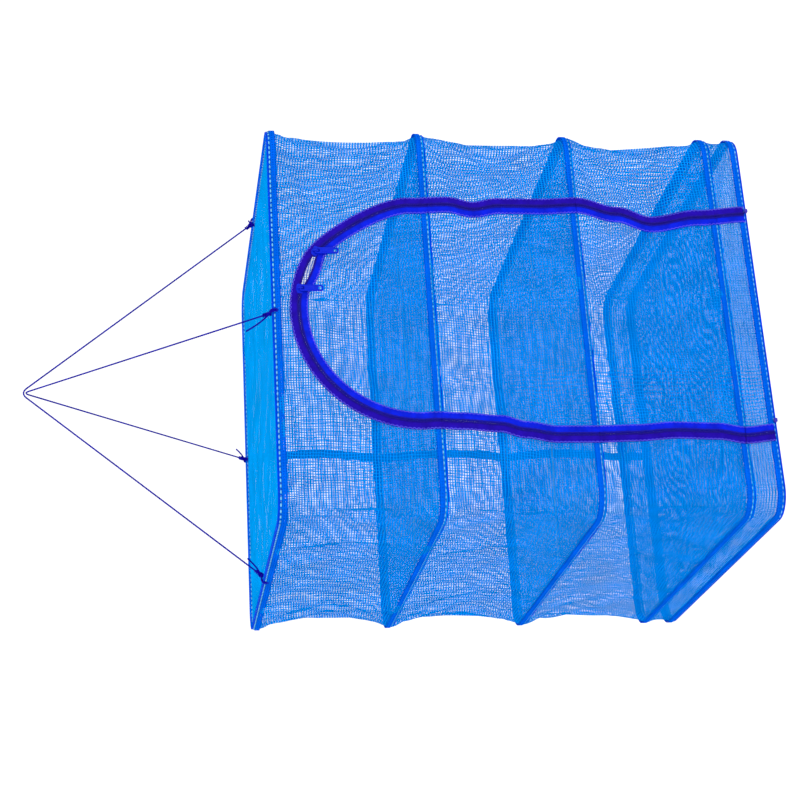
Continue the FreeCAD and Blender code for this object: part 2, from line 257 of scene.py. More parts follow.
def close_edit():
    bpy.ops.object.mode_set(mode="OBJECT")


def settle(ob):
    """Puts an object's place, turn and size into its mesh."""
    bpy.context.view_layer.update()
    ob.data.transform(ob.matrix_world)
    ob.matrix_world = Matrix.Identity(4)
    return ob


def join(name, pieces):
    deselect()
    for piece in pieces:
        piece.select_set(True)
    bpy.context.view_layer.objects.active = pieces[0]
    if len(pieces) > 1:
        bpy.ops.object.join()
    pieces[0].name = name
    pieces[0].data.name = name
    return pieces[0]


def mesh_object(name, points, faces, uvs=None, uv_name="weave"):
    """An object from points, faces and, corner by corner, places on its own UV map."""
    mesh = bpy.data.meshes.new(name)
    mesh.from_pydata([tuple(p) for p in points], [], [tuple(f) for f in faces])
    if uvs is not None:
        layer = mesh.uv_layers.new(name=uv_name)
        layer.data.foreach_set("uv", np.asarray(uvs, np.float32).ravel())
    mesh.update()
    ob = bpy.data.objects.new(name, mesh)
    bpy.context.scene.collection.objects.link(ob)
    return ob


def smooth(ob):
    ob.data.polygons.foreach_set("use_smooth", [True] * len(ob.data.polygons))
    ob.data.update()
    return ob


def dress(ob, material):
    ob.data.materials.clear()
    ob.data.materials.append(material)
    return ob


def frames_along(points, up, closed=False):
    """Unit tangents and two unit sides at each point of a line, the second side as near to up as it can be."""
    points = np.asarray(points, float)
    if closed:
        tangents = np.roll(points, -1, 0) - np.roll(points, 1, 0)
    else:
        tangents = np.gradient(points, axis=0)
    tangents /= np.linalg.norm(tangents, axis=1)[:, None]
    ups = np.broadcast_to(np.asarray(up, float), points.shape)
    out = np.cross(tangents, ups)
    out /= np.linalg.norm(out, axis=1)[:, None]
    return tangents, out, np.cross(out, tangents)


def run_lengths(points):
    """Length along a line from its start to each of its points."""
    return np.concatenate([[0], np.cumsum(np.linalg.norm(np.diff(points, axis=0), axis=1))])


def ring_lengths(points):
    """Length round a closed line from its start to each of its points, and all the way round."""
    return np.concatenate([[0], np.cumsum(np.linalg.norm(np.roll(points, -1, 0) - points, axis=1))])


def sweep(name, points, section, up=(0, 0, 1), closed=False):
    """A closed section, given as (out, up) pairs, carried along a line of points."""
    points = np.asarray(points, float)
    section = np.asarray(section, float)
    _, out, high = frames_along(points, up, closed)
    rings = points[:, None] + out[:, None] * section[None, :, :1] + high[:, None] * section[None, :, 1:]
    count, around = len(points), len(section)
    lengths, girth = run_lengths(points), ring_lengths(section)
    if closed:
        lengths = np.append(lengths, lengths[-1] + np.linalg.norm(points[0] - points[-1]))
    faces, uvs = [], []
    for i in range(count if closed else count - 1):
        for j in range(around):
            a, b = i * around, (i + 1) % count * around
            k = (j + 1) % around
            faces.append((a + j, b + j, b + k, a + k))
            u, v, low, top = lengths[i], lengths[i + 1], girth[j], girth[j + 1]
            uvs += [(u, low), (v, low), (v, top), (u, top)]
    if not closed:
        last = (count - 1) * around
        faces.append(tuple(range(around)))
        faces.append(tuple(last + j for j in reversed(range(around))))
        uvs += [(0.0, 0.0)] * (2 * around)
    ob = mesh_object(name, rings.reshape(-1, 3), faces, uvs)
    edit_all(ob)
    bpy.ops.mesh.normals_make_consistent(inside=False)
    close_edit()
    return smooth(ob)


def circle(radius, sides, centre=(0.0, 0.0)):
    angles = [2 * math.pi * k / sides for k in range(sides)]
    return [(centre[0] + radius * math.cos(a), centre[1] + radius * math.sin(a)) for a in angles]


def turn_of(count):
    """Evenly spaced angles once round, the last one short of the first."""
    return np.linspace(0, 2 * math.pi, count + 1)[:-1]


def bead(length, width, height):
    """One stitch or tooth about the origin, lying along X: a rounded bar of a few faces."""
    deselect()
    bpy.ops.mesh.primitive_cylinder_add(vertices=6, radius=0.5, depth=1.0, rotation=(0, math.pi / 2, 0))
    ob = settle(bpy.context.active_object)
    edit_some(ob, "FACE", lambda face: abs(face.normal.x) > 0.9)
    bpy.ops.mesh.bevel(offset=0.28, segments=1, affect="EDGES")
    close_edit()
    ob.data.transform(Matrix.Diagonal((length, width, height, 1)))
    return ob


def strew(name, pattern, places):
    """One mesh that holds a copy of pattern at each place, a 4 by 4 matrix. The pattern is used up."""
    base = np.array([(*v.co, 1) for v in pattern.data.vertices])
    faces = [tuple(p.vertices) for p in pattern.data.polygons]
    points = np.concatenate([base @ np.array(place).T for place in places])[:, :3]
    count = len(base)
    every = [tuple(v + n * count for v in face) for n in range(len(places)) for face in faces]
    bpy.data.objects.remove(pattern)
    return smooth(mesh_object(name, points, every))


def place_of(point, along, side, third):
    """A matrix whose X, Y and Z are along, side and third, at point."""
    place = np.eye(4)
    for column, axis in enumerate((along, side, third, point)):
        place[:3, column] = axis
    return place


def resample(points, step):
    """Points evenly spaced along a line, about step apart."""
    points = np.asarray(points, float)
    lengths = run_lengths(points)
    count = max(2, int(round(lengths[-1] / step)) + 1)
    at = np.linspace(0, lengths[-1], count)
    return np.stack([np.interp(at, lengths, points[:, k]) for k in range(3)], axis=1)


# ---------------------------------------------------------------- material helpers


def feed(tree, socket, value):
    """Gives an input socket a value, or links it to the output that feeds it."""
    if isinstance(value, bpy.types.NodeSocket):
        tree.links.new(value, socket)
    else:
        socket.default_value = value


def node(tree, kind, x=0, y=0, sockets=None, **values):
    """A node at its place in the tree, with its own values and, by name, what its sockets get."""
    made = tree.nodes.new(kind)
    made.location = (x, y)
    for key, value in values.items():
        setattr(made, key, value)
    for label, value in (sockets or {}).items():
        feed(tree, made.inputs[label], value)
    return made


def maths(tree, operation, first, second=None, x=0, y=0):
    made = node(tree, "ShaderNodeMath", x, y, operation=operation)
    for socket, value in zip(made.inputs, (first, second)):
        if value is not None:
            feed(tree, socket, value)
    return made.outputs[0]


def noise(tree, scale, detail, place, x, y=0, **values):
    """Soft noise over a place, from 0 to 1."""
    sockets = {"Scale": scale, "Detail": detail, "Vector": place}
    return node(tree, "ShaderNodeTexNoise", x, y, sockets, **values).outputs["Fac"]


def object_place(tree):
    return node(tree, "ShaderNodeTexCoord", -800).outputs["Object"]


def new_group(name, inputs, outputs):
    """A shader node group with its sockets, and its input and output nodes."""
    tree = bpy.data.node_groups.new(name, "ShaderNodeTree")
    for label, kind, default in inputs:
        socket = tree.interface.new_socket(label, in_out="INPUT", socket_type=kind)
        if default is not None:
            socket.default_value = default
    for label, kind in outputs:
        tree.interface.new_socket(label, in_out="OUTPUT", socket_type=kind)
    return tree, node(tree, "NodeGroupInput", -900), node(tree, "NodeGroupOutput", 900)


def net_group():
    """Knitted net: a mask of its threads, their shade and their height, from a place in metres."""
    if "Knitted net" in bpy.data.node_groups:
        return bpy.data.node_groups["Knitted net"]
    uneven, blur, veil = 0.35, 1.35, 0.06  # how far threads stray, how soft their edges are, what a gap still holds
    tree, inlet, outlet = new_group(
        "Knitted net",
        [
            ("Place", "NodeSocketVector", None),
            ("Pitch", "NodeSocketFloat", 0.0034),
            ("Thread", "NodeSocketFloat", 0.3),
            ("Course", "NodeSocketFloat", 1.0),
        ],
        [("Threads", "NodeSocketFloat"), ("Shade", "NodeSocketFloat"), ("Height", "NodeSocketFloat")],
    )
    place = inlet.outputs["Place"]
    parts = node(tree, "ShaderNodeSeparateXYZ", -700, sockets={"Vector": place})
    wander = noise(tree, 60, 1, place, -700, -300, noise_dimensions="2D")
    drift = maths(tree, "MULTIPLY", maths(tree, "SUBTRACT", wander, 0.5, -560), uneven, -460)
    masks = []
    for number, axis in enumerate(("X", "Y")):
        y = -200 * number
        turns = maths(tree, "DIVIDE", parts.outputs[axis], inlet.outputs["Pitch"], -500, y)
        turns = maths(tree, "ADD", turns, drift, -400, y)
        share = maths(tree, "FRACT", turns, None, -300, y)
        away = maths(tree, "ABSOLUTE", maths(tree, "SUBTRACT", share, 0.5))
        width = inlet.outputs["Thread"]
        if axis == "Y":
            width = maths(tree, "MULTIPLY", width, inlet.outputs["Course"], -300, y - 100)
        half = maths(tree, "MULTIPLY", width, 0.5, -200, y)
        bounds = {
            "Value": away,
            "From Max": half,
            "From Min": maths(tree, "MULTIPLY", half, blur, -100, y),
            "To Min": veil,
            "To Max": 1,
        }
        soft = node(tree, "ShaderNodeMapRange", 0, y, bounds, interpolation_type="SMOOTHSTEP")
        masks.append(soft.outputs["Result"])
    feed(tree, outlet.inputs["Threads"], maths(tree, "MAXIMUM", *masks, 300))
    feed(tree, outlet.inputs["Shade"], noise(tree, 24, 3, place, 0, -500, noise_dimensions="2D"))
    feed(tree, outlet.inputs["Height"], maths(tree, "ADD", *masks, 400, -200))
    return tree


def fibre_group():
    """Woven fibre: fine ribs across a tape or cord, with a little uneven colour."""
    if "Woven fibre" in bpy.data.node_groups:
        return bpy.data.node_groups["Woven fibre"]
    tree, inlet, outlet = new_group(
        "Woven fibre",
        [("Place", "NodeSocketVector", None), ("Ribs per metre", "NodeSocketFloat", 1200.0)],
        [("Height", "NodeSocketFloat"), ("Shade", "NodeSocketFloat")],
    )
    place = inlet.outputs["Place"]
    parts = node(tree, "ShaderNodeSeparateXYZ", -700, sockets={"Vector": place})
    waves = []
    for axis in ("X", "Y"):
        turns = maths(tree, "MULTIPLY", parts.outputs[axis], inlet.outputs["Ribs per metre"], -500)
        waves.append(maths(tree, "PINGPONG", turns, 0.5, -400))
    feed(tree, outlet.inputs["Height"], maths(tree, "ADD", *waves, 100))
    feed(tree, outlet.inputs["Shade"], noise(tree, 90, 4, place, -200, -400))
    return tree


def wear_group():
    """Handling wear on hard pieces: blotches and fine scratches from a place on the object."""
    if "Handling wear" in bpy.data.node_groups:
        return bpy.data.node_groups["Handling wear"]
    tree, inlet, outlet = new_group(
        "Handling wear",
        [("Place", "NodeSocketVector", None), ("Scale", "NodeSocketFloat", 180.0)],
        [("Blotch", "NodeSocketFloat"), ("Scratch", "NodeSocketFloat")],
    )
    place, scale = inlet.outputs["Place"], inlet.outputs["Scale"]
    stretch = node(tree, "ShaderNodeMapping", -600, -300, {"Scale": (1.0, 1.0, 9.0), "Vector": place})
    feed(tree, outlet.inputs["Blotch"], noise(tree, scale, 4, place, -400))
    feed(tree, outlet.inputs["Scratch"], noise(tree, scale, 2, stretch.outputs["Vector"], -400, -300))
    return tree


def new_material(name, roughness, **sockets):
    """A material with one Principled shader and its constant values, and its tree."""
    material = bpy.data.materials.new(name)
    material.use_nodes = True
    tree = material.node_tree
    shader = tree.nodes["Principled BSDF"]
    shader.inputs["Roughness"].default_value = roughness
    for label, value in sockets.items():
        shader.inputs[label.replace("_", " ")].default_value = value
    return material, tree, shader


def place_group(tree, group, place, **values):
    sockets = {label.replace("_", " "): value for label, value in values.items()}
    return node(tree, "ShaderNodeGroup", -500, 0, {"Place": place, **sockets}, node_tree=group)


def two_tone(tree, shader, mask, dark, light):
    """Base colour between two tones, by a mask."""
    ramp = node(tree, "ShaderNodeMix", -200, 100, data_type="RGBA")
    for label, value in (("A", (*dark, 1)), ("B", (*light, 1)), ("Factor", mask)):
        feed(tree, ramp.inputs[label], value)
    tree.links.new(ramp.outputs["Result"], shader.inputs["Base Color"])


def bump(tree, shader, height, distance, strength=0.6):
    made = node(tree, "ShaderNodeBump", -200, -300, {"Distance": distance, "Strength": strength, "Height": height})
    tree.links.new(made.outputs["Normal"], shader.inputs["Normal"])


def shades(colour, dark=0.75, light=1.25):
    return [tuple(min(1.0, c * by) for c in colour) for by in (dark, light)]


def net_material(name, colour, thread, course=1.0, pitch_share=1.0):
    """See-through net: the gaps between its threads are clear."""
    if name in bpy.data.materials:
        return bpy.data.materials[name]
    nets = settings("nets")
    material, tree, shader = new_material(name, 0.5, Specular_IOR_Level=0.0)
    uv = node(tree, "ShaderNodeUVMap", -800, uv_map="weave")
    pitch = nets.pitch * pitch_share
    group = place_group(tree, net_group(), uv.outputs["UV"], Pitch=pitch, Thread=thread, Course=course)
    two_tone(tree, shader, group.outputs["Shade"], *shades(colour))
    # Painted glow: the threads' colour also goes out as emission, standing in for light that the thin threads let
    # through.
    tree.links.new(shader.inputs["Base Color"].links[0].from_socket, shader.inputs["Emission Color"])
    shader.inputs["Emission Strength"].default_value = nets.painted_glow
    bump(tree, shader, group.outputs["Height"], 0.0003)
    tree.links.new(group.outputs["Threads"], shader.inputs["Alpha"])
    return material


def fibre_material(name, colour, ribs=1200.0, roughness=0.65, pale=0.0):
    """Opaque woven or twisted fibre."""
    if name in bpy.data.materials:
        return bpy.data.materials[name]
    material, tree, shader = new_material(name, roughness, Specular_IOR_Level=0.02)
    group = place_group(tree, fibre_group(), object_place(tree), Ribs_per_metre=ribs)
    dark, light = shades(colour, 0.5, 1.6)
    two_tone(tree, shader, group.outputs["Shade"], dark, tuple(c + (1 - c) * pale for c in light))
    bump(tree, shader, group.outputs["Height"], 0.0002, 0.4)
    return material


def hard_material(name, colour, roughness, metallic=0.0, **sockets):
    """Moulded plastic, enamel or metal with handling wear."""
    if name in bpy.data.materials:
        return bpy.data.materials[name]
    material, tree, shader = new_material(name, roughness, Metallic=metallic, **sockets)
    group = place_group(tree, wear_group(), object_place(tree))
    dark, light = shades(colour, 0.8, 1.15)
    two_tone(tree, shader, group.outputs["Blotch"], dark, light)
    bounds = {
        "To Min": max(0.05, roughness - 0.12),
        "To Max": min(1.0, roughness + 0.15),
        "Value": group.outputs["Scratch"],
    }
    spread = node(tree, "ShaderNodeMapRange", -300, -150, bounds)
    tree.links.new(spread.outputs["Result"], shader.inputs["Roughness"])
    bump(tree, shader, group.outputs["Scratch"], 0.00005, 0.3)
    return material


def pale_stitch_and_painted_highlight():
    """The pale stitches of the shelves' middle seams, and the hems' pale dashes, which are painted highlight: they
    stand in for the glossy wire's highlight seen through the hem net.
    """
    return fibre_material("dash_thread", (0.1, 0.46, 0.95), ribs=2400, roughness=0.4, pale=0.15)


def dark_thread():
    """The thread that closes the hems and sews on the back seam's webbing."""
    return fibre_material("seam_thread", (0.0, 0.04, 0.62), ribs=2400)


# ---------------------------------------------------------------- hanging soft pieces on their bodies


def fold_flat(ob, tier, on_door=False):
    """Hangs a tier's soft piece on the body of its upper frame, or on the door's body, with a mesh of its own."""
    rides_on = JOINT["door_open"]["child"] if on_door else BODY_OF_FRAME[tier]
    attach(ob, rides_on)
    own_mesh(ob)
    return ob


# ---------------------------------------------------------------- stage

EYE = Vector((-0.90377, -2.19021, 0.17584))  # the camera's place from the middle of the top frame
LOOK = Vector((0.37373, 0.91534, -0.14993))  # the way it looks
LEVEL_SIDE = Vector((0.925, -0.38, 0.0))  # the way that points up in the view: the cage is seen lying on its side
NET_LAYERS = 48  # how many nets a ray of light may pass through
PAPER_SIZE = 16
LAMPS = (("Key", Vector((-1.8, -2.4, 1.4)), 1.6, 26), ("Fill", Vector((2.6, -1.2, 0.4)), 1.8, 12))


def build_stage():
    """Camera, pale floor and soft light."""
    stage = settings("stage")
    scene = bpy.context.scene
    scene.view_settings.view_transform = "Standard"
    scene.cycles.transparent_max_bounces = NET_LAYERS
    look = LOOK.normalized()
    side = (LEVEL_SIDE - look * LEVEL_SIDE.dot(look)).normalized()
    above = side.cross(look)
    turn = Matrix((-above, side, -look)).transposed()
    camera = bpy.data.cameras.new("Camera")
    camera.lens = stage.lens
    camera.sensor_width = 36
    eye = bpy.data.objects.new("Camera", camera)
    eye.matrix_world = Matrix.Translation(Vector((0, 0, LEVEL[1])) + EYE) @ turn.to_4x4()
    scene.collection.objects.link(eye)
    scene.camera = eye

    world = bpy.data.worlds.new("Studio")
    world.use_nodes = True
    background = world.node_tree.nodes["Background"]
    background.inputs["Color"].default_value = (1, 1, 1, 1)
    background.inputs["Strength"].default_value = stage.light
    scene.world = world
    for name, place, size, power in LAMPS:
        light = bpy.data.lights.new(name, "AREA")
        light.size = size
        light.energy = power
        lamp = bpy.data.objects.new(name, light)
        aim = Vector((0, 0, (LEVEL[1] + LEVEL[5]) / 2)) - place
        lamp.matrix_world = Matrix.Translation(place) @ aim.to_track_quat("-Z", "Y").to_matrix().to_4x4()
        scene.collection.objects.link(lamp)

    deselect()
    bpy.ops.mesh.primitive_plane_add(size=1)
    floor = bpy.context.active_object
    floor.name = "studio_floor"
    edit_all(floor)
    bpy.ops.transform.resize(value=(PAPER_SIZE, PAPER_SIZE, 1))
    bpy.ops.transform.translate(value=(0, 0, LEVEL[5] - stage.floor_drop))
    close_edit()
    material, tree, shader = new_material("studio_paper", 0.9)
    two_tone(tree, shader, noise(tree, 2, 2, object_place(tree), -500), (0.94, 0.94, 0.94), (0.96, 0.96, 0.96))
    shader.inputs["Emission Color"].default_value = (1, 1, 1, 1)
    shader.inputs["Emission Strength"].default_value = 0.12
    floor.data.materials.append(material)


# ---------------------------------------------------------------- bridle

# for each side of the top frame: the way out from the middle, the way its knot's loose tail points, the tail's length
SIDES = {
    "front": ((0, -1, 0), (-20, -3, 23), 0.038),
    "back": ((0, 1, 0), (11, 0, 8), 0.019),
    "left": ((-1, 0, 0), (14, -5, 12), 0.027),
    "right": ((1, 0, 0), (10, 0, 5), 0.007),
}
# for each cord: the sides that it runs from and to, and the bend radius of its centreline over the hook
LINES = {"front_back": ("front", "back", 0.0061), "left_right": ("right", "left", 0.0086)}
KNOT_UP = 0.0034  # from the hem's skin to the middle of a knot's lump, along the cord
STRANDS = 3
STRAND_SHARE = 0.3  # a strand's radius over the cord's diameter
ASKEW = (0.31, 0.17, 0.93)  # a way that no cord or tail runs along
# for each crossed turn of a knot: its tilt, its radius over the cord's, and its place along the cord
KNOT_LOOPS = ((0.5, 2.2, 0.0), (-0.6, 2.0, 0.0011), (1.5, 1.9, -0.0008))


def hem_edge(side):
    """The middle of one side of the top wire."""
    return Vector(side) * HALF + Vector((0, 0, LEVEL[1]))


def knot_centre(side):
    edge = hem_edge(side)
    return edge - edge.normalized() * (HEM_RADIUS + KNOT_UP)


def twisted(name, line, diameter, lay):
    """A laid cord of three strands round a line of points."""
    line = resample(line, diameter * 0.4)
    _, out, high = frames_along(line, ASKEW)
    lengths = run_lengths(line)
    strand = STRAND_SHARE * diameter
    ring = diameter / 2 - strand
    pieces = []
    for number in range(STRANDS):
        angle = lengths / lay * 2 * math.pi + 2 * math.pi * number / STRANDS
        path = line + ring * (np.cos(angle)[:, None] * out + np.sin(angle)[:, None] * high)
        pieces.append(sweep(f"{name}_{number}", path, circle(strand, 6), up=ASKEW))
    return join(name, pieces)


def spline_points(name, route):
    """A smooth line on given points: an open NURBS spline, read back as points."""
    curve = bpy.data.curves.new(name, "CURVE")
    curve.dimensions = "3D"
    spline = curve.splines.new("NURBS")
    spline.points.add(len(route) - 1)
    for point, place in zip(spline.points, route):
        point.co = (*place, 1)
    spline.order_u = 3
    spline.use_endpoint_u = True
    spline.resolution_u = 48
    ob = bpy.data.objects.new(name, curve)
    bpy.context.scene.collection.objects.link(ob)
    bpy.context.view_layer.update()
    mesh = bpy.data.meshes.new_from_object(ob)
    points = np.array([v.co for v in mesh.vertices])
    bpy.data.objects.remove(ob)
    bpy.data.meshes.remove(mesh)
    return points


def build_bridle():
    """Two taut cords that cross over the hook, and the knots that tie them to the top hem."""
    cords = settings("cords")
    material = fibre_material("cord_fibre", cords.colour, ribs=1600)
    for place, (side, tail_way, tail_length) in SIDES.items():
        build_knot(place, Vector(side), Vector(tail_way).normalized(), tail_length, material)
    for name, (start, end, bend) in LINES.items():
        near, far = knot_centre(SIDES[start][0]), knot_centre(SIDES[end][0])
        peak = Vector((0, 0, bend / (math.hypot(near.x, near.y) / near.length)))
        beside = 6 * cords.diameter + bend
        by_near, by_far = (peak + (knot - peak).normalized() * beside for knot in (near, far))
        line = resample(spline_points(f"route_{name}", [near, by_near, peak, by_far, far]), 0.001)
        cord = twisted(f"bridle_line_{name}", line, cords.diameter, cords.lay)
        dress(cord, material)
        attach(cord, "top_frame")
        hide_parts(f"bridle_cord_{name}")


def build_knot(place, side, tail_way, tail_length, material):
    """Two turns round the hem, a lump of crossed turns, a whipping along the cord and a loose tail."""
    cords = settings("cords")
    radius = cords.diameter / 2
    edge, centre = hem_edge(side), knot_centre(side)
    way = -edge.normalized()
    along = Vector((0, 0, 1)).cross(side)
    lean = along.cross(way)

    def ring(name, hub, axis, first, second, size, count):
        line = [hub + (first * math.cos(a) + second * math.sin(a)) * size for a in turn_of(count)]
        return sweep(f"{name}_{place}", line, circle(radius, 8), up=tuple(axis), closed=True)

    pieces = []
    wrap = HEM_RADIUS + radius + 0.0003  # clear of the hem
    for shift in (-1.05 * radius, 1.05 * radius):
        pieces.append(ring("turn", edge + along * shift, along, way, lean, wrap, 32))
    for tip, size, ahead in KNOT_LOOPS:
        axis = (along * math.cos(tip) + way * math.sin(tip)).normalized()
        first = axis.orthogonal().normalized()
        pieces.append(ring("loop", centre + way * ahead, axis, first, axis.cross(first), size * radius, 24))
    turns = np.linspace(0, 5 * math.pi, 60)
    start, length = 0.003, 0.0062  # of the whipping, along the cord from the knot's middle
    coil = [
        centre + way * (start + length * t / turns[-1]) + (along * math.cos(t) + lean * math.sin(t)) * radius * 1.7
        for t in turns
    ]
    pieces.append(sweep(f"whipping_{place}", coil, circle(radius * 0.8, 7), up=tuple(way)))
    sag = Vector((0, 0, -0.06 * tail_length))
    tail = [centre + tail_way * tail_length * t + sag * math.sin(math.pi * t) for t in np.linspace(0, 1, 12)]
    pieces.append(twisted(f"tail_{place}", tail, cords.diameter, cords.lay))
    knot = dress(join(f"knot_{place}", pieces), material)
    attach(knot, "top_frame")
    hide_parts(f"bridle_knot_{place}")
    return knot


# ---------------------------------------------------------------- hems


def square_line(half, corner, step):
    """Points about step apart round a rounded square, from the middle of the back towards -X."""
    straight = half - corner
    points = []
    rounds = max(3, int(round(math.pi / 2 * corner / step)))
    flats = max(2, int(round(straight / step)))
    for quarter in range(4):
        turn = math.pi / 2 * quarter
        rotate = np.array([[math.cos(turn), -math.sin(turn)], [math.sin(turn), math.cos(turn)]])
        flat = [(-straight * k / flats, half) for k in range(flats)]
        arc = [
            (-straight - corner * math.sin(a), straight + corner * math.cos(a))
            for a in (math.pi / 2 * k / rounds for k in range(rounds))
        ]
        rest = [(-half, straight * (1 - k / flats)) for k in range(flats)]
        points += [tuple(rotate @ np.array(p)) for p in flat + arc + rest]
    return np.array(points)


def at_level(flat_points, z):
    return np.column_stack([flat_points, np.full(len(flat_points), z)])


def build_hems():
    """The net strip folded round each wire, its pale dashes, which are painted highlight of the glossy wire seen
    through the net, and its dark seam thread.
    """
    hems = settings("hems")
    # The hem's darker colour is partly painted shade where the nets overlap.
    sleeve = net_material("hem_net", hems.colour, 0.5, 1.0)
    pale, dark = pale_stitch_and_painted_highlight(), dark_thread()
    line = square_line(HALF, CORNER, 0.006)
    net, tip = NET_OUT - HALF, HEM_RADIUS + hems.fin  # the fin lies on the nets and ends at its tip
    for number in FRAMES:
        way = -1 if number == 1 else 1
        root = way * 0.001
        fin = [(net - 0.0002, root), (net + 0.0006, root), (net + 0.0007, way * tip), (net + 0.0001, way * tip)]
        points = at_level(line, LEVEL[number])
        tube = sweep(f"hem_tube_{number}", points, circle(HEM_RADIUS * 0.94, 16), closed=True)
        skirt = sweep(f"hem_skirt_{number}", points, fin, closed=True)
        hem = dress(join(f"hem_sleeve_{number}", [tube, skirt]), sleeve)
        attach(hem, BODY_OF_FRAME[number])
        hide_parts(f"frame_hem_{number}")
        # Pale dashes on both sides of each hem: painted highlight, standing in for the glossy wire's highlight seen
        # through the net.
        places = []
        spaced = resample(np.vstack([points, points[:1]]), hems.dash_pitch)[:-1]
        tangents, out, high = frames_along(spaced, (0, 0, 1), closed=True)
        for point, t, o, h in zip(spaced, tangents, out, high):
            for face in (1, -1):
                places.append(place_of(point + o * face * (HEM_RADIUS + 0.0002) + h * 0.0004, t, o, h))
        dashes = strew(f"hem_painted_highlights_{number}", bead(hems.dash, 0.0010, 0.0020), places)
        dress(dashes, pale)
        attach(dashes, BODY_OF_FRAME[number])
        section = circle(0.0008, 6, (HEM_RADIUS * 0.8, -way * HEM_RADIUS * 0.68))
        thread = sweep(f"hem_thread_{number}", points, section, closed=True)
        dress(thread, dark)
        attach(thread, BODY_OF_FRAME[number])


def finish_metal():
    """Wire and ferrule finishes for the CAD nodes that stay."""
    wire = hard_material("spring_wire", (0.72, 0.73, 0.75), 0.28, metallic=1.0)
    sleeve = hard_material("tinned_sleeve", (0.6, 0.61, 0.63), 0.42, metallic=1.0)
    for number in FRAMES:
        for kind, material in (("frame_wire", wire), ("wire_ferrule", sleeve)):
            mesh = frame["nodes"][f"{kind}_{number}"].data
            mesh.materials.clear()
            mesh.materials.append(material)


# ---------------------------------------------------------------- zip line

# how each leg of the zip wanders: depth below the arch's foot, shift along X, shift inwards
LEG_WAVES = {
    1: [
        (0.0, 0.0, 0.0), (0.045, 0.0028, 0.001), (0.077, -0.003, 0.002), (0.109, 0.002, 0.001),
        (0.159, 0.0015, 0.0), (0.206, 0.0042, 0.0), (0.257, -0.0055, 0.004), (0.303, -0.015, 0.011),
        (0.36, -0.010, 0.001), (0.421, -0.005, 0.0),
    ],
    -1: [
        (0.0, 0.002, 0.0), (0.045, 0.0, 0.001), (0.09, -0.003, 0.002), (0.12, -0.011, 0.001),
        (0.156, -0.017, 0.0), (0.204, -0.017, 0.0), (0.252, -0.0145, 0.003), (0.300, -0.0112, 0.003),
        (0.349, -0.0138, 0.0), (0.385, -0.019, 0.0), (0.421, -0.0155, 0.0),
    ],
}
LEG_FADE = 0.02  # height over which a leg's shift sets in below the arch's foot
DENT, DENT_AT, DENT_HALF = 0.007, 58, 30  # depth of the arch's dent, its place and its half width in degrees
SWAY_REACH = 0.07  # how far beside the zip the nets follow its shifts


def arch_dent(x, z):
    """How far the right shoulder of the door's arch is pulled in towards the arch's centre."""
    angle = np.degrees(np.arctan2(x, np.maximum(z - ARCH_Z, 1e-9)))
    return DENT * np.clip(1 - ((angle - DENT_AT) / DENT_HALF) ** 2, 0, 1) ** 1.5


def below_arch(z):
    """0 on the arch, rising to 1 a little way down the legs."""
    return np.clip((ARCH_Z - z) / LEG_FADE, 0, 1)


def leg_shift(side, z):
    """Shift of a leg along X and inwards, at a height."""
    waves = np.array(LEG_WAVES[side])
    depth = np.clip(ARCH_Z - np.asarray(z, float), 0, waves[-1, 0])
    index = np.clip(np.searchsorted(waves[:, 0], depth, side="right") - 1, 0, len(waves) - 2)
    share = (depth - waves[index, 0]) / (waves[index + 1, 0] - waves[index, 0])
    ease = share * share * (3 - 2 * share)
    return [waves[index, k] * (1 - ease) + waves[index + 1, k] * ease for k in (1, 2)]


def zip_line(step=0.0015):
    """Points of the zip's centreline from the right foot over the arch to the left, with its ways along and out."""
    legs = {}
    for side in (1, -1):
        z = np.arange(ARCH_Z, LEVEL[5], -step)
        shift_x, shift_y = leg_shift(side, z)
        x = side * DOOR_RADIUS + shift_x * below_arch(z)
        legs[side] = np.column_stack([x, np.full(len(z), ZIP_Y) + shift_y, z])
    angles = np.linspace(0, math.pi, int(math.pi * DOOR_RADIUS / step))[1:-1]
    radius = DOOR_RADIUS - arch_dent(np.cos(angles), ARCH_Z + np.sin(angles))
    arch = np.column_stack([radius * np.cos(angles), np.full(len(angles), ZIP_Y), ARCH_Z + radius * np.sin(angles)])
    line = np.vstack([legs[1][::-1], arch, legs[-1]])
    tangents = np.gradient(line, axis=0)
    tangents /= np.linalg.norm(tangents, axis=1)[:, None]
    out = np.cross(tangents, (0, -1, 0))
    out /= np.linalg.norm(out, axis=1)[:, None]
    return line, tangents, out


# ---------------------------------------------------------------- nets

DRAPE_STEPS = 24
DRAPE_CAP = 0.026  # how far draping may move a point
CREASE_HEIGHT, CREASE_START, CREASE_REACH = 0.0042, 0.05, 0.13  # of the folds that fan out from a tier's corners
ZIP_EDGE = 0.005  # from the zip's line to the cut edge of a net, under the tape
OPEN_TIER = 0.18  # a tier this high pulls in fully, a lower one by its share
PANEL_RINGS = 26
DOOR_HEM = 0.03  # what the door net's cut width has over the zip's


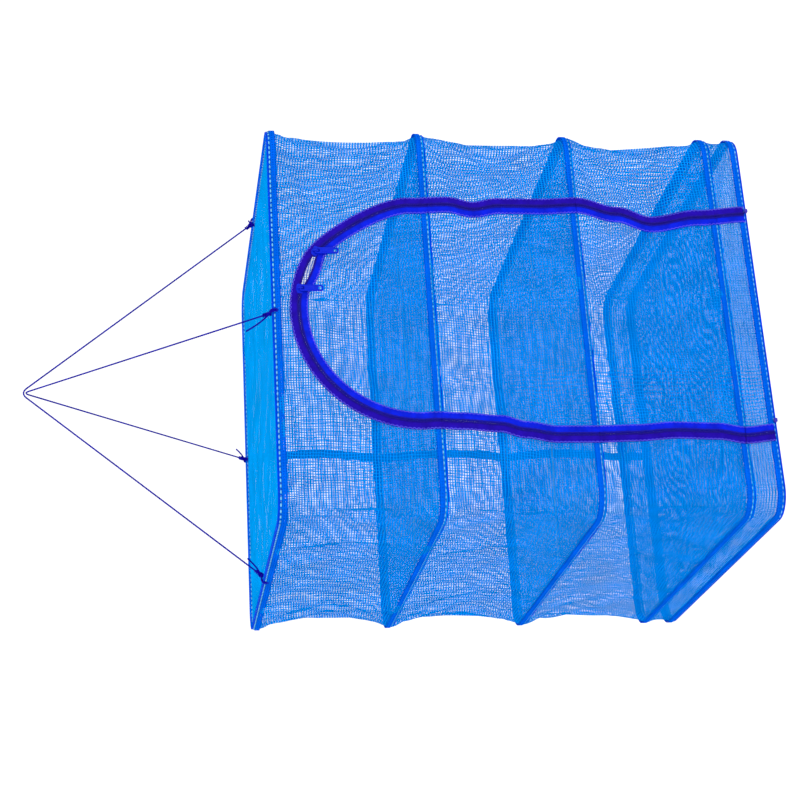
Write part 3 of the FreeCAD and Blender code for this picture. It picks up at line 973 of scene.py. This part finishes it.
def drape(ob, held, start):
    """Lets a net find its own folds between its held points, and keeps the result in its mesh."""
    nets = settings("nets")
    group = ob.vertex_groups.new(name="held")
    group.add([int(i) for i in held], 1.0, "REPLACE")
    only(ob)
    cloth = ob.modifiers.new("Cloth", "CLOTH")
    for name, value in {
        "quality": 6,
        "mass": 0.004,
        "tension_stiffness": 10,
        "compression_stiffness": 6,
        "shear_stiffness": 2,
        "bending_stiffness": 0.15,
        "vertex_group_mass": "held",
        "shrink_min": -nets.slack,
        "use_pressure": True,
        "uniform_pressure_force": -0.5,
    }.items():
        setattr(cloth.settings, name, value)
    cloth.settings.effector_weights.gravity = 0.35
    cloth.point_cache.frame_start = 1
    cloth.point_cache.frame_end = DRAPE_STEPS + 6
    for number in range(1, DRAPE_STEPS + 1):
        bpy.context.scene.frame_set(number)
    bpy.ops.object.modifier_apply(modifier="Cloth")
    bpy.context.scene.frame_set(1)
    points = np.array([v.co for v in ob.data.vertices])
    moved = points - start
    far = np.linalg.norm(moved, axis=1)
    points = start + moved * (np.minimum(far, DRAPE_CAP) / np.maximum(far, 1e-9))[:, None]
    ob.data.vertices.foreach_set("co", points.ravel())
    ob.data.update()
    ob.vertex_groups.clear()
    return points


def creases(points, tier):
    """Folds that fan out from the corners of a tier's walls, as heights out of the net."""
    height = np.zeros(len(points))
    post = HALF - 0.006
    for number, (side_x, side_y) in enumerate(((-1, -1), (1, -1), (1, 1), (-1, 1))):
        for end, level in enumerate((LEVEL[tier], LEVEL[tier + 1])):
            over = np.abs(points[:, 0] - side_x * post) + np.abs(points[:, 1] - side_y * post)
            away = np.hypot(over, points[:, 2] - level)
            turn = np.arctan2(np.abs(points[:, 2] - level), over)
            fade = np.exp(-((away / CREASE_REACH) ** 2)) * np.clip(away / CREASE_START, 0, 1)
            folds, phase = 11 + 2 * ((number + tier) % 3), 2.1 * number + 1.3 * tier
            height += CREASE_HEIGHT * fade * np.sin(folds * turn + phase + end)
    return height


def near_zip(points):
    """Distance of front-wall points outside the zip's plain line, below 0 in the door, and 1 on the other walls."""
    x, y, z = points[:, 0], points[:, 1], points[:, 2]
    arch = np.hypot(x, z - ARCH_Z) - DOOR_RADIUS
    distance = np.where(z > ARCH_Z, arch, np.abs(x) - DOOR_RADIUS)
    return np.where(y < -HALF * 0.9, distance, 1.0)


def sway(points, distance):
    """Moves net points near the zip as its legs wander."""
    beside_zip = np.clip(1 - (np.abs(distance) / SWAY_REACH) ** 2, 0, 1)
    fade = below_arch(points[:, 2]) * beside_zip
    moved = points.copy()
    for side in (1, -1):
        beside = fade * (points[:, 0] * side > 0)
        shift_x, shift_y = leg_shift(side, points[:, 2])
        moved[:, 0] += shift_x * beside
        moved[:, 1] += shift_y * beside
    x, height = points[:, 0], points[:, 2] - ARCH_Z
    pull = arch_dent(x, points[:, 2]) * (beside_zip * (height > 0)) / np.maximum(np.hypot(x, height), 1e-6)
    moved[:, 0] -= x * pull
    moved[:, 2] -= height * pull
    return moved


def zip_gap(x, z):
    """How far the open stretch between the two sliders has parted."""
    first, last = slider_angle("middle"), slider_angle("right")
    share = (np.arctan2(x, z - ARCH_Z) - first) / (last - first)
    return settings("zip").opening * np.sin(np.pi * np.clip(share, 0, 1)) ** 0.8 * (z > ARCH_Z)


def trim(points, faces, uvs, rest, distance, side):
    """Keeps what lies outside (side 1) or inside (side -1) the zip, its edge laid along the zip's line."""
    edge = np.broadcast_to(ZIP_EDGE + (zip_gap(rest[:, 0], rest[:, 2]) if side < 0 else 0), distance.shape)
    past = distance * side
    if side < 0:
        past = np.where(distance > 0.5, -1.0, past)
    kept = [n for n, face in enumerate(faces) if (past[list(face)] > edge[list(face)]).any()]
    short = edge - past
    snap = (short > 0) & (np.abs(distance) < 0.04)
    way = np.zeros_like(rest)
    over = rest[:, 2] > ARCH_Z
    radius = np.maximum(np.hypot(rest[:, 0], rest[:, 2] - ARCH_Z), 1e-6)
    way[:, 0] = np.where(over, rest[:, 0] / radius, np.sign(rest[:, 0]))
    way[:, 2] = np.where(over, (rest[:, 2] - ARCH_Z) / radius, 0.0)
    placed = points + way * (short * snap * side)[:, None]
    used = sorted({v for n in kept for v in faces[n]})
    index = {v: k for k, v in enumerate(used)}
    return placed[used], [tuple(index[v] for v in faces[n]) for n in kept], [uv for n in kept for uv in uvs[n]]


def finish_net(ob, material, thickness):
    """Smooths a net once and gives it the thickness of its threads."""
    apply_modifier(ob, "SUBSURF", levels=1, render_levels=1, boundary_smooth="PRESERVE_CORNERS")
    apply_modifier(ob, "SOLIDIFY", thickness=thickness, offset=0)
    smooth(ob)
    return dress(ob, material)


def build_walls():
    """The wall nets and the door net, draped tier by tier, cut along the zip, and the back seam's tape."""
    nets = settings("nets")
    material = net_material("wall_net", nets.colour, nets.thread, 1.25)
    outline = square_line(NET_OUT - nets.thickness / 2, CORNER + NET_OUT - HALF, nets.cell)
    columns = len(outline)
    around = ring_lengths(outline)
    _, outwards, _ = frames_along(at_level(outline, 0.0), (0, 0, 1), closed=True)
    seam_x = middle("back_seam_tape").x
    seam_column = int(np.argmin(np.abs(outline[:, 0] - seam_x) + (outline[:, 1] < 0)))
    seam_lines = {}
    for tier in TIERS:
        height = LEVEL[tier] - LEVEL[tier + 1]
        rows = max(5, int(round(height / nets.cell)))
        heights = np.linspace(LEVEL[tier], LEVEL[tier + 1], rows + 1)
        rest = np.concatenate([at_level(outline, z) for z in heights])
        share = np.repeat(np.linspace(0, 1, rows + 1), columns)
        normals = np.tile(outwards, (rows + 1, 1))
        distance = near_zip(rest)
        stiff = np.clip(np.abs(distance) / 0.05, 0, 1)
        to_corner = np.hypot(*(np.abs(rest[:, :2]) - (HALF - 0.01)).T)
        waist = 0.004 + nets.waist * np.clip(1 - to_corner / 0.11, 0, 1) ** 1.5
        tall = min(1.0, height / OPEN_TIER)
        bow = waist * tall * np.sin(np.pi * share) ** 0.8 * stiff
        folds = creases(rest, tier) * np.sin(np.pi * share) ** 0.5 * stiff * tall
        start = sway(rest, distance) + normals * (folds - bow)[:, None]
        faces, uvs = [], []
        for row in range(rows):
            for column in range(columns):
                a, b = row * columns + column, row * columns + (column + 1) % columns
                faces.append((a, a + columns, b + columns, b))
                u, v = around[column], around[column + 1]
                p, q = heights[row], heights[row + 1]
                uvs.append([(u, p), (u, q), (v, q), (v, p)])
        if tier == 4:
            drop = min(0.006, 0.03 * height) * np.sin(np.pi * share) * stiff
            points = start - normals * drop[:, None]
        else:
            cloth = mesh_object(f"draping_{tier}", start, faces)
            held = np.where((share < 0.001) | (share > 0.999) | (np.abs(distance) < 0.0125))[0]
            points = drape(cloth, held, start)
            bpy.data.objects.remove(cloth)
        for side, name, node_name, width in (
            (1, "wall", f"wall_net_{tier}", float(around[-1])),
            (-1, "door", "door_net", 2 * DOOR_RADIUS + DOOR_HEM),
        ):
            piece = mesh_object(f"{name}_cloth_{tier}", *trim(points, faces, uvs, rest, distance, side))
            finish_net(piece, material, nets.thickness)
            fold_flat(piece, tier, on_door=side < 0)
            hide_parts(node_name)
        strand = np.array([points[row * columns + seam_column] for row in range(rows + 1)])
        strand[:, 0] = seam_x
        seam_lines[tier] = strand
    build_back_seam(seam_lines)


def build_back_seam(lines):
    """Webbing over the joined edges of the wall nets, with a row of dark thread."""
    nets = settings("nets")
    low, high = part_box("back_seam_tape")
    half_width, thick, rib = (high.x - low.x) / 2, 0.0006, 0.00078  # the webbing is thicker along its middle
    band = fibre_material("seam_webbing", tuple(min(1.0, c * 1.35 + 0.03) for c in nets.colour), ribs=900)
    dark = dark_thread()
    section = [
        (-half_width, 0.0), (half_width, 0.0), (half_width, thick),
        (0.4 * half_width, rib), (-0.4 * half_width, rib), (-half_width, thick),
    ]
    for tier, line in lines.items():
        line = resample(line + np.array([0, 0.0008, 0]), 0.004)
        tape = sweep(f"seam_band_{tier}", line, section, up=(0, 1, 0))
        dress(tape, band)
        fold_flat(tape, tier)
        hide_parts("back_seam_tape")
        spaced = resample(line + np.array([0.0, rib + 0.0001, 0]), 0.0035)
        places = [place_of(*axes) for axes in zip(spaced, *frames_along(spaced, (0, 1, 0)))][1:-1]
        stitches = strew(f"seam_stitches_{tier}", bead(0.0028, 0.0007, 0.0005), places)
        dress(stitches, dark)
        fold_flat(stitches, tier)


def build_panels():
    """The flat nets across the frames: roof, three shelves with a pale middle seam, and floor."""
    nets = settings("nets")
    # The roof net is the walls' net in a lighter, greener tone: painted sheen of the light that grazes the roof's
    # threads.
    roof = net_material("roof_net", (nets.colour[0], nets.colour[1] * 1.25, nets.colour[2]), 0.55, 1.0)
    shelf = net_material("shelf_net", nets.colour, nets.thread, 1.1)
    floor = net_material("floor_net", nets.colour, nets.thread, 1.1, pitch_share=0.8)
    pale = pale_stitch_and_painted_highlight()
    names = {1: "top_net", 2: "shelf_net_2", 3: "shelf_net_3", 4: "shelf_net_4", 5: "bottom_net"}
    for number, cad in names.items():
        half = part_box(cad)[1].x
        outline = square_line(half, CORNER - (HALF - half), 0.012)
        columns = len(outline)
        level = middle(cad).z
        points = [(0.0, 0.0)]
        for ring in range(1, PANEL_RINGS + 1):
            points += [tuple(p) for p in outline * ring / PANEL_RINGS]
        points = np.array(points)
        x, y = points[:, 0] / half, points[:, 1] / half
        inwards = 1 - np.maximum(np.abs(x), np.abs(y))
        sag = {1: 0.004, 5: 0.010}.get(number, 0.007)
        dip = sag * (1 - x**2) * (1 - y**2)
        phase = number * 1.7
        edge = np.clip(inwards, 0, 0.3) / 0.3
        ripple = 0.0012 * edge * (np.sin(7 * x + phase) * np.sin(5 * y + 2 * phase) + 0.5 * np.sin(17 * x * y + phase))
        corner = 0.0022 * np.clip(np.hypot(x, y) - 0.85, 0, 0.3) / 0.3 * np.sin(26 * np.arctan2(y, x) + phase)
        corner = corner * np.clip(inwards / 0.05, 0, 1)
        solid = np.column_stack([points, level - dip + ripple + corner])
        faces = [(0, 1 + k, 1 + (k + 1) % columns) for k in range(columns)]
        for ring in range(PANEL_RINGS - 1):
            a, b = 1 + ring * columns, 1 + (ring + 1) * columns
            faces += [(a + k, b + k, b + (k + 1) % columns, a + (k + 1) % columns) for k in range(columns)]
        uvs = [tuple(points[v]) for face in faces for v in face]
        panel = mesh_object(f"panel_cloth_{number}", solid, faces, uvs)
        apply_modifier(panel, "SOLIDIFY", thickness=nets.thickness * (3 if number == 1 else 1), offset=0)
        smooth(panel)
        dress(panel, {1: roof, 5: floor}.get(number, shelf))
        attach(panel, BODY_OF_FRAME[number])
        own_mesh(panel)
        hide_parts(cad)
        if number in (1, 5):
            continue
        places = []
        for here in np.linspace(-half * 0.98, half * 0.98, 80):
            slope = Vector((1, 0, 2 * sag * here / half**2)).normalized()
            for lift in (0.0004, -0.0004):
                z = level - sag * (1 - (here / half) ** 2) + lift
                places.append(place_of((here, 0, z), slope, (0, 1, 0), slope.cross(Vector((0, 1, 0)))))
        seam = strew(f"shelf_seam_{number}", bead(0.0075, 0.0026, 0.0012), places)
        dress(seam, pale)
        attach(seam, BODY_OF_FRAME[number])
        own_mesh(seam)


# ---------------------------------------------------------------- zip

TOOTH = (0.0029, 0.0011, 0.0017)  # length, width and height of one turn of the coil
EDGE_STITCH = (0.0031, 0.001, 0.0008)
EDGE_TILT = 0.65  # how far the zigzag of edge stitches leans, in radians
PROUD = 0.0006  # how far teeth and stitches stand in front of the tape's middle


def zip_runs(tier, line):
    """The stretches of the zip's line inside a tier, as index lists."""
    inside = (line[:, 2] <= LEVEL[tier] + 1e-9) & (line[:, 2] > LEVEL[tier + 1])
    runs, run = [], []
    for k, here in enumerate(inside):
        if here:
            run.append(k)
        elif run:
            runs.append(run)
            run = []
    if run:
        runs.append(run)
    return [list(range(max(run[0] - 1, 0), min(run[-1] + 2, len(line)))) for run in runs if len(run) > 3]


def build_zip():
    """The zip's tapes, coils and edge stitches, on the walls and on the door, tier by tier."""
    zips = settings("zip")
    tape_finishes = {
        "wall": fibre_material("wall_tape_weave", zips.colour, ribs=1500),
        "door": fibre_material("door_tape_weave", zips.door_colour, ribs=1500),
    }
    coil_finish = hard_material("zip_coil_nylon", (0.008, 0.001, 0.24), 0.45, Specular_IOR_Level=0.15)
    stitch_finish = fibre_material("zip_stitch_thread", (0.09, 0.08, 0.9), ribs=2400)
    line, tangents, out = zip_line()
    gap = zip_gap(line[:, 0], line[:, 2])
    lengths = run_lengths(line)
    front = np.array([0, -1.0, 0])
    for tier in TIERS:
        runs = zip_runs(tier, line)
        for side, word in ((1, "wall"), (-1, "door")):
            tapes, coil_places, stitch_places = [], [], []
            near, far = 0.0002 * side, (TAPE_EDGE + 0.0002) * side
            mid = (near + far) / 2
            section = [
                (near, -0.0004), (mid, -0.0005), (far, -0.0004), (far + 0.0001 * side, 0.0), (far, 0.0004),
                (far - 0.002 * side, 0.00055), (mid, 0.00035), (near + 0.001 * side, 0.0006), (near, 0.0004),
            ]
            for run in runs:
                part = line[run] - out[run] * (gap[run] * (side < 0))[:, None]
                tapes.append(sweep(f"tape_{tier}", part, section, up=(0, -1, 0)))
                at = lengths[run]
                for pitch, places, shift in (
                    (zips.tooth_pitch, coil_places, 0.0 if side > 0 else 0.5),
                    (zips.stitch_pitch / 2, stitch_places, 0.0),
                ):
                    first = math.ceil(at[0] / pitch - shift)
                    last = math.floor(at[-1] / pitch - shift)
                    for number in range(first, last + 1):
                        where = (number + shift) * pitch
                        spot = np.array([np.interp(where, at, part[:, k]) for k in range(3)])
                        t = np.array([np.interp(where, at, tangents[run, k]) for k in range(3)])
                        t /= np.linalg.norm(t)
                        o = np.cross(t, front)
                        if places is coil_places:
                            places.append(place_of(spot + o * side * 0.00125 + front * PROUD, o, t, front))
                            continue
                        tilt = EDGE_TILT * (1 if number % 2 else -1)
                        along = t * math.cos(tilt) + o * math.sin(tilt)
                        at_edge = spot + o * side * (TAPE_EDGE - 0.0008) + front * PROUD
                        places.append(place_of(at_edge, along, np.cross(front, along), front))
            tape = dress(join(f"zip_band_{word}_{tier}", tapes), tape_finishes[word])
            coil = strew(f"zip_teeth_{word}_{tier}", bead(*TOOTH), coil_places)
            dress(coil, coil_finish)
            stitches = strew(f"zip_stitches_{word}_{tier}", bead(*EDGE_STITCH), stitch_places)
            dress(stitches, stitch_finish)
            for piece in (tape, coil, stitches):
                fold_flat(piece, tier, on_door=side < 0)
            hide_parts(f"zip_tape_{word}")
            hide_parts(f"zip_coil_{word}")


# ---------------------------------------------------------------- sliders, tabs and stops

SLIDER_FACE = 0.0018  # the slider's middle to the outside of its front plate
PLATE = (0.0122, 0.001, 0.0106)
FLANGE, FLANGE_OUT = (0.0084, 0.0011, 0.0009), 0.0048
BRIDGE_RADIUS, BRIDGE_WIRE = 0.0034, 0.0006
TAB_THICKNESS, AXLE_RADIUS = 0.0014, 0.0007
TAB_SLOT = (0.0038, 0.01, 0.0062)  # where the bridge passes
HOLE_RADIUS, RIM_RADIUS, RIM_WIRE = 0.0024, 0.0031, 0.0009  # the hole at the tab's foot
ACROSS, FORWARD = (0, math.pi / 2, 0), (math.pi / 2, 0, 0)  # turns that lay a rod along X and along Y


def add_block(size, place):
    """A block with its size and place in its mesh, alone selected."""
    deselect()
    bpy.ops.mesh.primitive_cube_add(size=1, location=place)
    ob = bpy.context.active_object
    ob.scale = size
    return only(settle(ob))


def add_rod(radius, length, place, turn):
    deselect()
    bpy.ops.mesh.primitive_cylinder_add(vertices=24, radius=radius, depth=length, location=place, rotation=turn)
    return only(settle(bpy.context.active_object))


def add_ring(major, minor, place, turn):
    deselect()
    bpy.ops.mesh.primitive_torus_add(
        major_radius=major, minor_radius=minor, major_segments=32, minor_segments=12, location=place, rotation=turn
    )
    return smooth(only(settle(bpy.context.active_object)))


def round_corners(ob, offset, segments=5):
    """Rounds the edges of a block that run front to back."""

    def front_to_back(edge):
        first, last = (ob.data.vertices[v].co for v in edge.vertices)
        return abs((last - first).normalized().y) > 0.99

    edit_some(ob, "EDGE", front_to_back)
    bpy.ops.mesh.bevel(offset=offset, segments=segments, affect="EDGES")
    close_edit()
    return ob


def pinch(ob, by):
    """Narrows the end of a block about the origin that points to -X."""
    edit_some(ob, "VERT", lambda vertex: vertex.co.x < 0)
    bpy.ops.transform.resize(value=(1, 1, by))
    close_edit()
    return ob


def cut(ob, tool):
    apply_modifier(ob, "BOOLEAN", operation="DIFFERENCE", object=tool, solver="EXACT")
    bpy.data.objects.remove(tool)
    return ob


def soften(ob, width):
    apply_modifier(ob, "BEVEL", width=width, segments=3, limit_method="ANGLE", angle_limit=math.radians(40))
    only(ob)
    bpy.ops.object.shade_smooth_by_angle(angle=math.radians(35))
    return ob


def build_slider(which, enamel):
    """A slider of two plates on a wedge, with a bridge that holds the tab's pin."""
    pin = Vector(JOINT[f"lift_{which}_tab"]["pos_m"])
    face = ZIP_Y - SLIDER_FACE
    plates = []
    for way in (-1, 1):
        plate = pinch(add_block(PLATE, (0, ZIP_Y + way * (SLIDER_FACE - PLATE[1] / 2), 0)), 0.72)
        plates.append(soften(round_corners(plate, 0.0022), 0.00035))
    for edge in (-1, 1):
        plates.append(soften(add_block(FLANGE, (0.0014, face + 0.0013, edge * FLANGE_OUT)), 0.0002))
    plates.append(soften(add_block((0.0030, 2 * SLIDER_FACE, 0.0016), (0.0042, ZIP_Y, 0)), 0.0003))
    body = join(f"slider_body_{which}", plates)
    swing = Matrix.Rotation(slider_angle(which), 4, "Y")
    body.data.transform(Matrix.Translation((0, 0, ARCH_Z)) @ swing @ Matrix.Translation((0, 0, DOOR_RADIUS)))
    bridge = add_ring(BRIDGE_RADIUS, BRIDGE_WIRE, (pin.x, face, pin.z), ACROSS)
    edit_all(bridge)
    bpy.ops.transform.resize(value=(1.7, 0.92, 1.0))
    bpy.ops.mesh.bisect(plane_co=(pin.x, face + 0.0004, pin.z), plane_no=(0, 1, 0), use_fill=True, clear_outer=True)
    close_edit()
    slider = join(f"slider_{which}", [body, bridge])
    dress(slider, enamel)
    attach(slider, f"{which}_slider")
    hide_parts(f"zip_slider_{which}")


def build_tab(which, enamel):
    """A flat pull tab, slotted round the bridge and pierced at its foot."""
    low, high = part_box(f"pull_tab_{which}")
    pin = Vector(JOINT[f"lift_{which}_tab"]["pos_m"])
    width = high.x - low.x
    hole = (pin.x, pin.y, low.z + width / 2)
    place = ((low.x + high.x) / 2, pin.y, (low.z + high.z) / 2)
    plate = add_block((width, TAB_THICKNESS, high.z - low.z), place)
    round_corners(plate, width * 0.38, 6)
    cut(plate, add_block(TAB_SLOT, (pin.x, pin.y, pin.z - 0.0012)))
    cut(plate, add_rod(HOLE_RADIUS, TAB_SLOT[1], hole, FORWARD))
    soften(plate, 0.0003)
    rim = add_ring(RIM_RADIUS, RIM_WIRE, hole, FORWARD)
    axle = smooth(add_rod(AXLE_RADIUS, width * 0.86, pin, ACROSS))
    rib = soften(add_block((width * 0.5, 0.0021, 0.0085), (pin.x, pin.y, pin.z - 0.0112)), 0.0004)
    tab = join(f"tab_{which}", [plate, rim, axle, rib])
    dress(tab, enamel)
    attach(tab, f"{which}_tab")
    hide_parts(f"pull_tab_{which}")


def build_stop(side, nylon):
    """An end stop crimped over the last teeth: a rounded clip with a groove across it."""
    low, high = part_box(f"zip_stop_{side}")
    size, place = high - low, (low + high) / 2
    clip = add_block(size, place)
    round_corners(clip, min(size.x, size.z) * 0.25, 4)
    cut(clip, add_block((size.x * 1.2, size.y * 0.24, size.z * 0.22), (place.x, low.y, place.z)))
    soften(clip, 0.0003)
    clip.name = f"stop_{side}"
    dress(clip, nylon)
    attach(clip, "bottom_frame")
    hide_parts(f"zip_stop_{side}")


def build_sliders():
    """Both sliders with their tabs, in enamel, and the zip's two end stops."""
    enamel = hard_material("blue_enamel", (0.0, 0.012, 0.56), 0.35, Specular_IOR_Level=0.12)
    nylon = hard_material("stop_nylon", (0.02, 0.008, 0.4), 0.4)
    for which in SLIDERS:
        build_slider(which, enamel)
        build_tab(which, enamel)
    for side in ("right", "left"):
        build_stop(side, nylon)


# ---------------------------------------------------------------- the add-on


class NetCageOperator:
    bl_options = {"REGISTER", "UNDO"}


class OBJECT_OT_net_cage_stage(NetCageOperator, bpy.types.Operator):
    """Adds the camera, the pale floor and the soft lights"""

    bl_idname = "object.net_cage_stage"
    bl_label = "Stage"

    def execute(self, context):
        build_stage()
        return {"FINISHED"}


class OBJECT_OT_net_cage_bridle(NetCageOperator, bpy.types.Operator):
    """Adds the two hanging cords and their knots"""

    bl_idname = "object.net_cage_bridle"
    bl_label = "Bridle"

    def execute(self, context):
        build_bridle()
        return {"FINISHED"}


class OBJECT_OT_net_cage_frames(NetCageOperator, bpy.types.Operator):
    """Sets the finish of the wires and of the sleeves that close them"""

    bl_idname = "object.net_cage_frames"
    bl_label = "Wire frames"

    def execute(self, context):
        finish_metal()
        return {"FINISHED"}


class OBJECT_OT_net_cage_hems(NetCageOperator, bpy.types.Operator):
    """Adds the stitched hems round the wires"""

    bl_idname = "object.net_cage_hems"
    bl_label = "Hems"

    def execute(self, context):
        build_hems()
        return {"FINISHED"}


class OBJECT_OT_net_cage_panels(NetCageOperator, bpy.types.Operator):
    """Adds the roof, shelf and floor nets"""

    bl_idname = "object.net_cage_panels"
    bl_label = "Roof, shelves and floor"

    def execute(self, context):
        build_panels()
        return {"FINISHED"}


class OBJECT_OT_net_cage_walls(NetCageOperator, bpy.types.Operator):
    """Drapes the wall and door nets and adds the back seam"""

    bl_idname = "object.net_cage_walls"
    bl_label = "Walls and door"

    def execute(self, context):
        build_walls()
        return {"FINISHED"}


class OBJECT_OT_net_cage_zip(NetCageOperator, bpy.types.Operator):
    """Adds the zip's tapes, coils and stitches"""

    bl_idname = "object.net_cage_zip"
    bl_label = "Zip"

    def execute(self, context):
        build_zip()
        return {"FINISHED"}


class OBJECT_OT_net_cage_sliders(NetCageOperator, bpy.types.Operator):
    """Adds the zip's sliders, pull tabs and end stops"""

    bl_idname = "object.net_cage_sliders"
    bl_label = "Sliders and tabs"

    def execute(self, context):
        build_sliders()
        return {"FINISHED"}


OPERATORS = (
    OBJECT_OT_net_cage_stage,
    OBJECT_OT_net_cage_bridle,
    OBJECT_OT_net_cage_frames,
    OBJECT_OT_net_cage_hems,
    OBJECT_OT_net_cage_panels,
    OBJECT_OT_net_cage_walls,
    OBJECT_OT_net_cage_zip,
    OBJECT_OT_net_cage_sliders,
)
GROUPS = {
    "nets": NetCageNets,
    "hems": NetCageHems,
    "zip": NetCageZip,
    "cords": NetCageCords,
    "stage": NetCageStage,
}


class VIEW3D_PT_net_cage(bpy.types.Panel):
    bl_label = "Net Cage"
    bl_idname = "VIEW3D_PT_net_cage"
    bl_space_type = "VIEW_3D"
    bl_region_type = "UI"
    bl_category = "Net Cage"

    def draw(self, context):
        for name in GROUPS:
            group = getattr(context.scene, f"net_cage_{name}")
            box = self.layout.box()
            for label in type(group).__annotations__:
                box.prop(group, label)
        for operator in OPERATORS:
            self.layout.operator(operator.bl_idname)


def register():
    for cls in (*GROUPS.values(), *OPERATORS, VIEW3D_PT_net_cage):
        bpy.utils.register_class(cls)
    for name, group in GROUPS.items():
        setattr(bpy.types.Scene, f"net_cage_{name}", bpy.props.PointerProperty(type=group))


def unregister():
    for name in GROUPS:
        delattr(bpy.types.Scene, f"net_cage_{name}")
    for cls in reversed((*GROUPS.values(), *OPERATORS, VIEW3D_PT_net_cage)):
        bpy.utils.unregister_class(cls)


def main():
    register()
    bpy.ops.object.net_cage_stage()
    bpy.ops.object.net_cage_bridle()
    bpy.ops.object.net_cage_frames()
    bpy.ops.object.net_cage_hems()
    bpy.ops.object.net_cage_panels()
    bpy.ops.object.net_cage_walls()
    bpy.ops.object.net_cage_zip()
    bpy.ops.object.net_cage_sliders()


if __name__ == "__main__":
    main()
